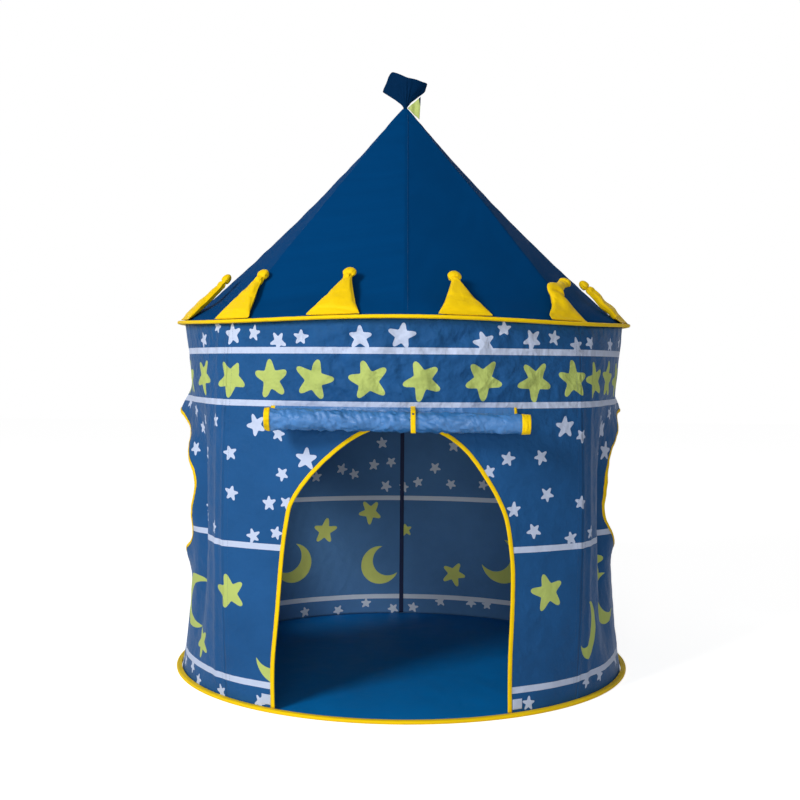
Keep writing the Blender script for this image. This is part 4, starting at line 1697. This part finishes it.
def make_stage():
    """The pale floor, the soft lamps and the camera at the photograph's angle."""
    scene = bpy.context.scene
    scene.view_settings.view_transform = "Standard"
    ground = bpy.data.materials.new("studio_floor")
    tree = blank(ground)
    where = put(tree, "ShaderNodeTexCoord").outputs["Object"]
    grain = put(tree, "ShaderNodeTexNoise", {"Vector": where, "Scale": 60.0, "Detail": 3.0})
    relief = put(tree, "ShaderNodeBump", {"Height": grain.outputs["Fac"], "Distance": 0.0002, "Strength": 0.2})
    dull = put(tree, "ShaderNodeBsdfDiffuse", {"Color": (0.86, 0.86, 0.86, 1), "Normal": relief})
    white = put(tree, "ShaderNodeEmission", {"Color": (1, 1, 1, 1), "Strength": scene.tent_sizes.floor_white})
    dark = put(tree, "ShaderNodeBsdfTransparent", {"Color": (0, 0, 0, 1)})
    added = put(tree, "ShaderNodeMixShader", {0: seen_white(tree), 1: dark, 2: white})
    total = put(tree, "ShaderNodeAddShader", {0: dull, 1: added})
    put(tree, "ShaderNodeOutputMaterial", {"Surface": total})
    corners = [(x * FLOOR_HALF, y * FLOOR_HALF, -FLOOR_DROP) for x, y in ((-1, -1), (1, -1), (1, 1), (-1, 1))]
    mesh = make_mesh("studio_floor", corners, [(0, 1, 2, 3)], np.array(corners)[:, :2])
    piece("studio_floor", mesh, [ground])
    world = bpy.data.worlds.new("studio")
    tree = blank(world)
    soft = put(tree, "ShaderNodeBackground", {"Color": (1, 1, 1, 1), "Strength": scene.tent_sizes.world_light})
    bright = put(tree, "ShaderNodeBackground", {"Color": (1, 1, 1, 1), "Strength": 1.0})
    mixed = put(tree, "ShaderNodeMixShader", {0: seen_white(tree), 1: soft, 2: bright})
    put(tree, "ShaderNodeOutputWorld", {"Surface": mixed})
    scene.world = world
    for name, (place, aim, size) in LAMPS.items():
        light = bpy.data.lights.new(name, "AREA")
        light.size, light.energy = size, getattr(scene.tent_sizes, name + "_light")
        lamp = bpy.data.objects.new(name, light)
        lamp.location = place
        lamp.rotation_euler = (Vector(aim) - Vector(place)).to_track_quat("-Z", "Y").to_euler()
        scene.collection.objects.link(lamp)
    camera = bpy.data.cameras.new("photo_camera")
    camera.lens, camera.sensor_width = CAMERA_LENS, CAMERA_SENSOR
    camera.clip_end = 60
    viewer = bpy.data.objects.new("photo_camera", camera)
    viewer.matrix_world = (
        Matrix.Translation(CAMERA_PLACE) @ Matrix.Rotation(math.radians(90 - CAMERA_DIP), 4, "X")
        @ Matrix.Rotation(CAMERA_ROLL, 4, "Z")
    )
    scene.collection.objects.link(viewer)
    scene.camera = viewer


# What a user may change

def length_value(name, description, default):
    """A length in metres."""
    return FloatProperty(name=name, description=description, default=default, min=0.0, soft_max=0.05,
                         precision=5, subtype="DISTANCE", unit="LENGTH")


def share_value(name, description, default):
    """A share from none to all."""
    return FloatProperty(name=name, description=description, default=default, min=0.0, max=1.0, subtype="FACTOR")


def power_value(name, description, default):
    """A lamp's power in watts."""
    return FloatProperty(name=name, description=description, default=default, min=0.0, subtype="POWER", unit="POWER")


def colour_value(name, description, red, green, blue):
    """A colour, its default given as the screen shows it."""
    return FloatVectorProperty(name=name, description=description, default=screen(red, green, blue), size=3,
                               min=0.0, max=1.0, subtype="COLOR")


class TentSizes(bpy.types.PropertyGroup):
    wall_drape: length_value("Wall drape", "Depth of the broad folds in the hung wall", 0.0018)
    wall_crumple: length_value("Wall creases", "Depth of the packed creases in the wall", 0.0064)
    eave_gather: length_value("Gathers", "Depth of the gathers beside the hoops", 0.0009)
    window_wave: length_value("Window wave", "How far a window's edge waves out of its wall", 0.0045)
    roof_drape: length_value("Roof drape", "Depth of the broad folds in the roof", 0.002)
    seam_pucker: length_value("Seam pucker", "Depth of the puckers along a sewn roof seam", 0.0006)
    tape_pucker: length_value("Tape pucker", "Depth of the puckers in the hoop tapes", 0.0012)
    roll_crumple: length_value("Roll creases", "Depth of the creases in the rolled flap", 0.0030)
    crown_swell: length_value("Crown fill", "How far air may push a crown point's cloth", 0.0035)
    stitch_pitch: length_value("Stitch pitch", "Distance from one stitch to the next", 0.0036)
    stitch_length: length_value("Stitch length", "Length of one stitch", 0.0025)
    thread: length_value("Thread", "Thickness of the sewing thread", 0.00055)
    roof_flatness: share_value("Roof tightness", "How flat the roof is drawn between ridge and seam", 0.8)
    floor_white: share_value("Floor white", "White that the floor shows to the camera", 0.78)
    world_light: FloatProperty(name="World light", description="Strength of the light from all round",
                               default=0.24, min=0.0, max=2.0)
    key_light: power_value("Key lamp", "Power of the lamp at the left", 112.0)
    fill_light: power_value("Fill lamp", "Power of the low lamp in front", 34.0)
    hoop_steps: IntProperty(name="Hoop steps", description="Sections round each hoop tape",
                            default=480, min=48, max=960)


class TentColours(bpy.types.PropertyGroup):
    wall: colour_value("Wall", "Printed wall cloth", 35, 85, 138)
    print_white: colour_value("White print", "White stars and stripes", 195, 207, 233)
    print_lime: colour_value("Lime print", "Lime stars and crescents", 184, 200, 112)
    wall_inside: colour_value("Wall lining", "Inside of the wall cloth", 88, 134, 182)
    white_inside: colour_value("White lining", "White print seen from inside", 225, 232, 240)
    lime_inside: colour_value("Lime lining", "Lime print seen from inside", 225, 231, 124)
    roof: colour_value("Roof", "Roof cloth", 2, 63, 115)
    floor: colour_value("Floor", "Floor cloth", 2, 114, 186)
    flap: colour_value("Flap reverse", "Shiny reverse of the door flap", 52, 114, 176)
    yellow: colour_value("Yellow", "Tapes and crown points", 247, 206, 7)
    tape: colour_value("Navy tape", "Pole sleeves and seam tape", 22, 36, 72)


# Operators, one for each piece or group of like pieces


class TENT_OT_stage(bpy.types.Operator):
    """Set up the floor, the lamps and the camera"""
    bl_idname = "tent.stage"
    bl_label = "Stage"

    def execute(self, context):
        make_stage()
        return {"FINISHED"}


class TENT_OT_walls(bpy.types.Operator):
    """Hang the four printed wall panels"""
    bl_idname = "tent.walls"
    bl_label = "Walls"

    def execute(self, context):
        make_walls()
        return {"FINISHED"}


class TENT_OT_edge_tapes(bpy.types.Operator):
    """Fold the yellow tapes round the doorway and the windows"""
    bl_idname = "tent.edge_tapes"
    bl_label = "Edge tapes"

    def execute(self, context):
        make_tapes()
        return {"FINISHED"}


class TENT_OT_hoop_tapes(bpy.types.Operator):
    """Fold the yellow tapes round the two spring hoops"""
    bl_idname = "tent.hoop_tapes"
    bl_label = "Hoop tapes"

    def execute(self, context):
        make_hoop_tapes()
        return {"FINISHED"}


class TENT_OT_roof(bpy.types.Operator):
    """Stretch the four roof panels over their poles"""
    bl_idname = "tent.roof"
    bl_label = "Roof"

    def execute(self, context):
        make_roof()
        return {"FINISHED"}


class TENT_OT_floor(bpy.types.Operator):
    """Lay the floor cloth with its pole pockets"""
    bl_idname = "tent.floor"
    bl_label = "Floor"

    def execute(self, context):
        make_floor()
        return {"FINISHED"}


class TENT_OT_corner_seams(bpy.types.Operator):
    """Sew the pole sleeves, the back tape and the wall seams"""
    bl_idname = "tent.corner_seams"
    bl_label = "Corner seams"

    def execute(self, context):
        make_corner_seams()
        return {"FINISHED"}


class TENT_OT_door_flap(bpy.types.Operator):
    """Roll up the door flap over the doorway"""
    bl_idname = "tent.door_flap"
    bl_label = "Door flap"

    def execute(self, context):
        make_flap()
        return {"FINISHED"}


class TENT_OT_tie(bpy.types.Operator):
    """Tie up the roll and sew on the doorway's patches"""
    bl_idname = "tent.tie"
    bl_label = "Tie and patches"

    def execute(self, context):
        make_tie()
        make_patches()
        return {"FINISHED"}


class TENT_OT_crown(bpy.types.Operator):
    """Fill and place the twelve crown points"""
    bl_idname = "tent.crown"
    bl_label = "Crown points"

    def execute(self, context):
        make_crown()
        return {"FINISHED"}


class TENT_OT_finial(bpy.types.Operator):
    """Gather the finial on the apex"""
    bl_idname = "tent.finial"
    bl_label = "Finial"

    def execute(self, context):
        make_finial()
        return {"FINISHED"}


class TENT_OT_frame_parts(bpy.types.Operator):
    """Finish the poles, elbows, hub and hoops"""
    bl_idname = "tent.frame_parts"
    bl_label = "Frame parts"

    def execute(self, context):
        make_frame_parts()
        return {"FINISHED"}


class TENT_PT_panel(bpy.types.Panel):
    """Sizes, colours and makers of the play tent"""
    bl_idname = "TENT_PT_panel"
    bl_label = "Play tent"
    bl_space_type = "VIEW_3D"
    bl_region_type = "UI"
    bl_category = "Tent"

    def draw(self, context):
        layout = self.layout
        for group in (context.scene.tent_sizes, context.scene.tent_colours):
            box = layout.box()
            for name in group.__annotations__:
                box.prop(group, name)
        for maker in MAKERS:
            layout.operator(maker.bl_idname)


MAKERS = (
    TENT_OT_stage,
    TENT_OT_walls,
    TENT_OT_edge_tapes,
    TENT_OT_hoop_tapes,
    TENT_OT_roof,
    TENT_OT_floor,
    TENT_OT_corner_seams,
    TENT_OT_door_flap,
    TENT_OT_tie,
    TENT_OT_crown,
    TENT_OT_finial,
    TENT_OT_frame_parts,
)


def register():
    for kind in (TentSizes, TentColours, *MAKERS, TENT_PT_panel):
        bpy.utils.register_class(kind)
    bpy.types.Scene.tent_sizes = PointerProperty(type=TentSizes)
    bpy.types.Scene.tent_colours = PointerProperty(type=TentColours)


def unregister():
    del bpy.types.Scene.tent_colours
    del bpy.types.Scene.tent_sizes
    for kind in (TENT_PT_panel, *reversed(MAKERS), TentColours, TentSizes):
        bpy.utils.unregister_class(kind)


def main():
    register()
    for maker in MAKERS:
        group, name = maker.bl_idname.split(".")
        getattr(getattr(bpy.ops, group), name)()


if __name__ == "__main__":
    main()
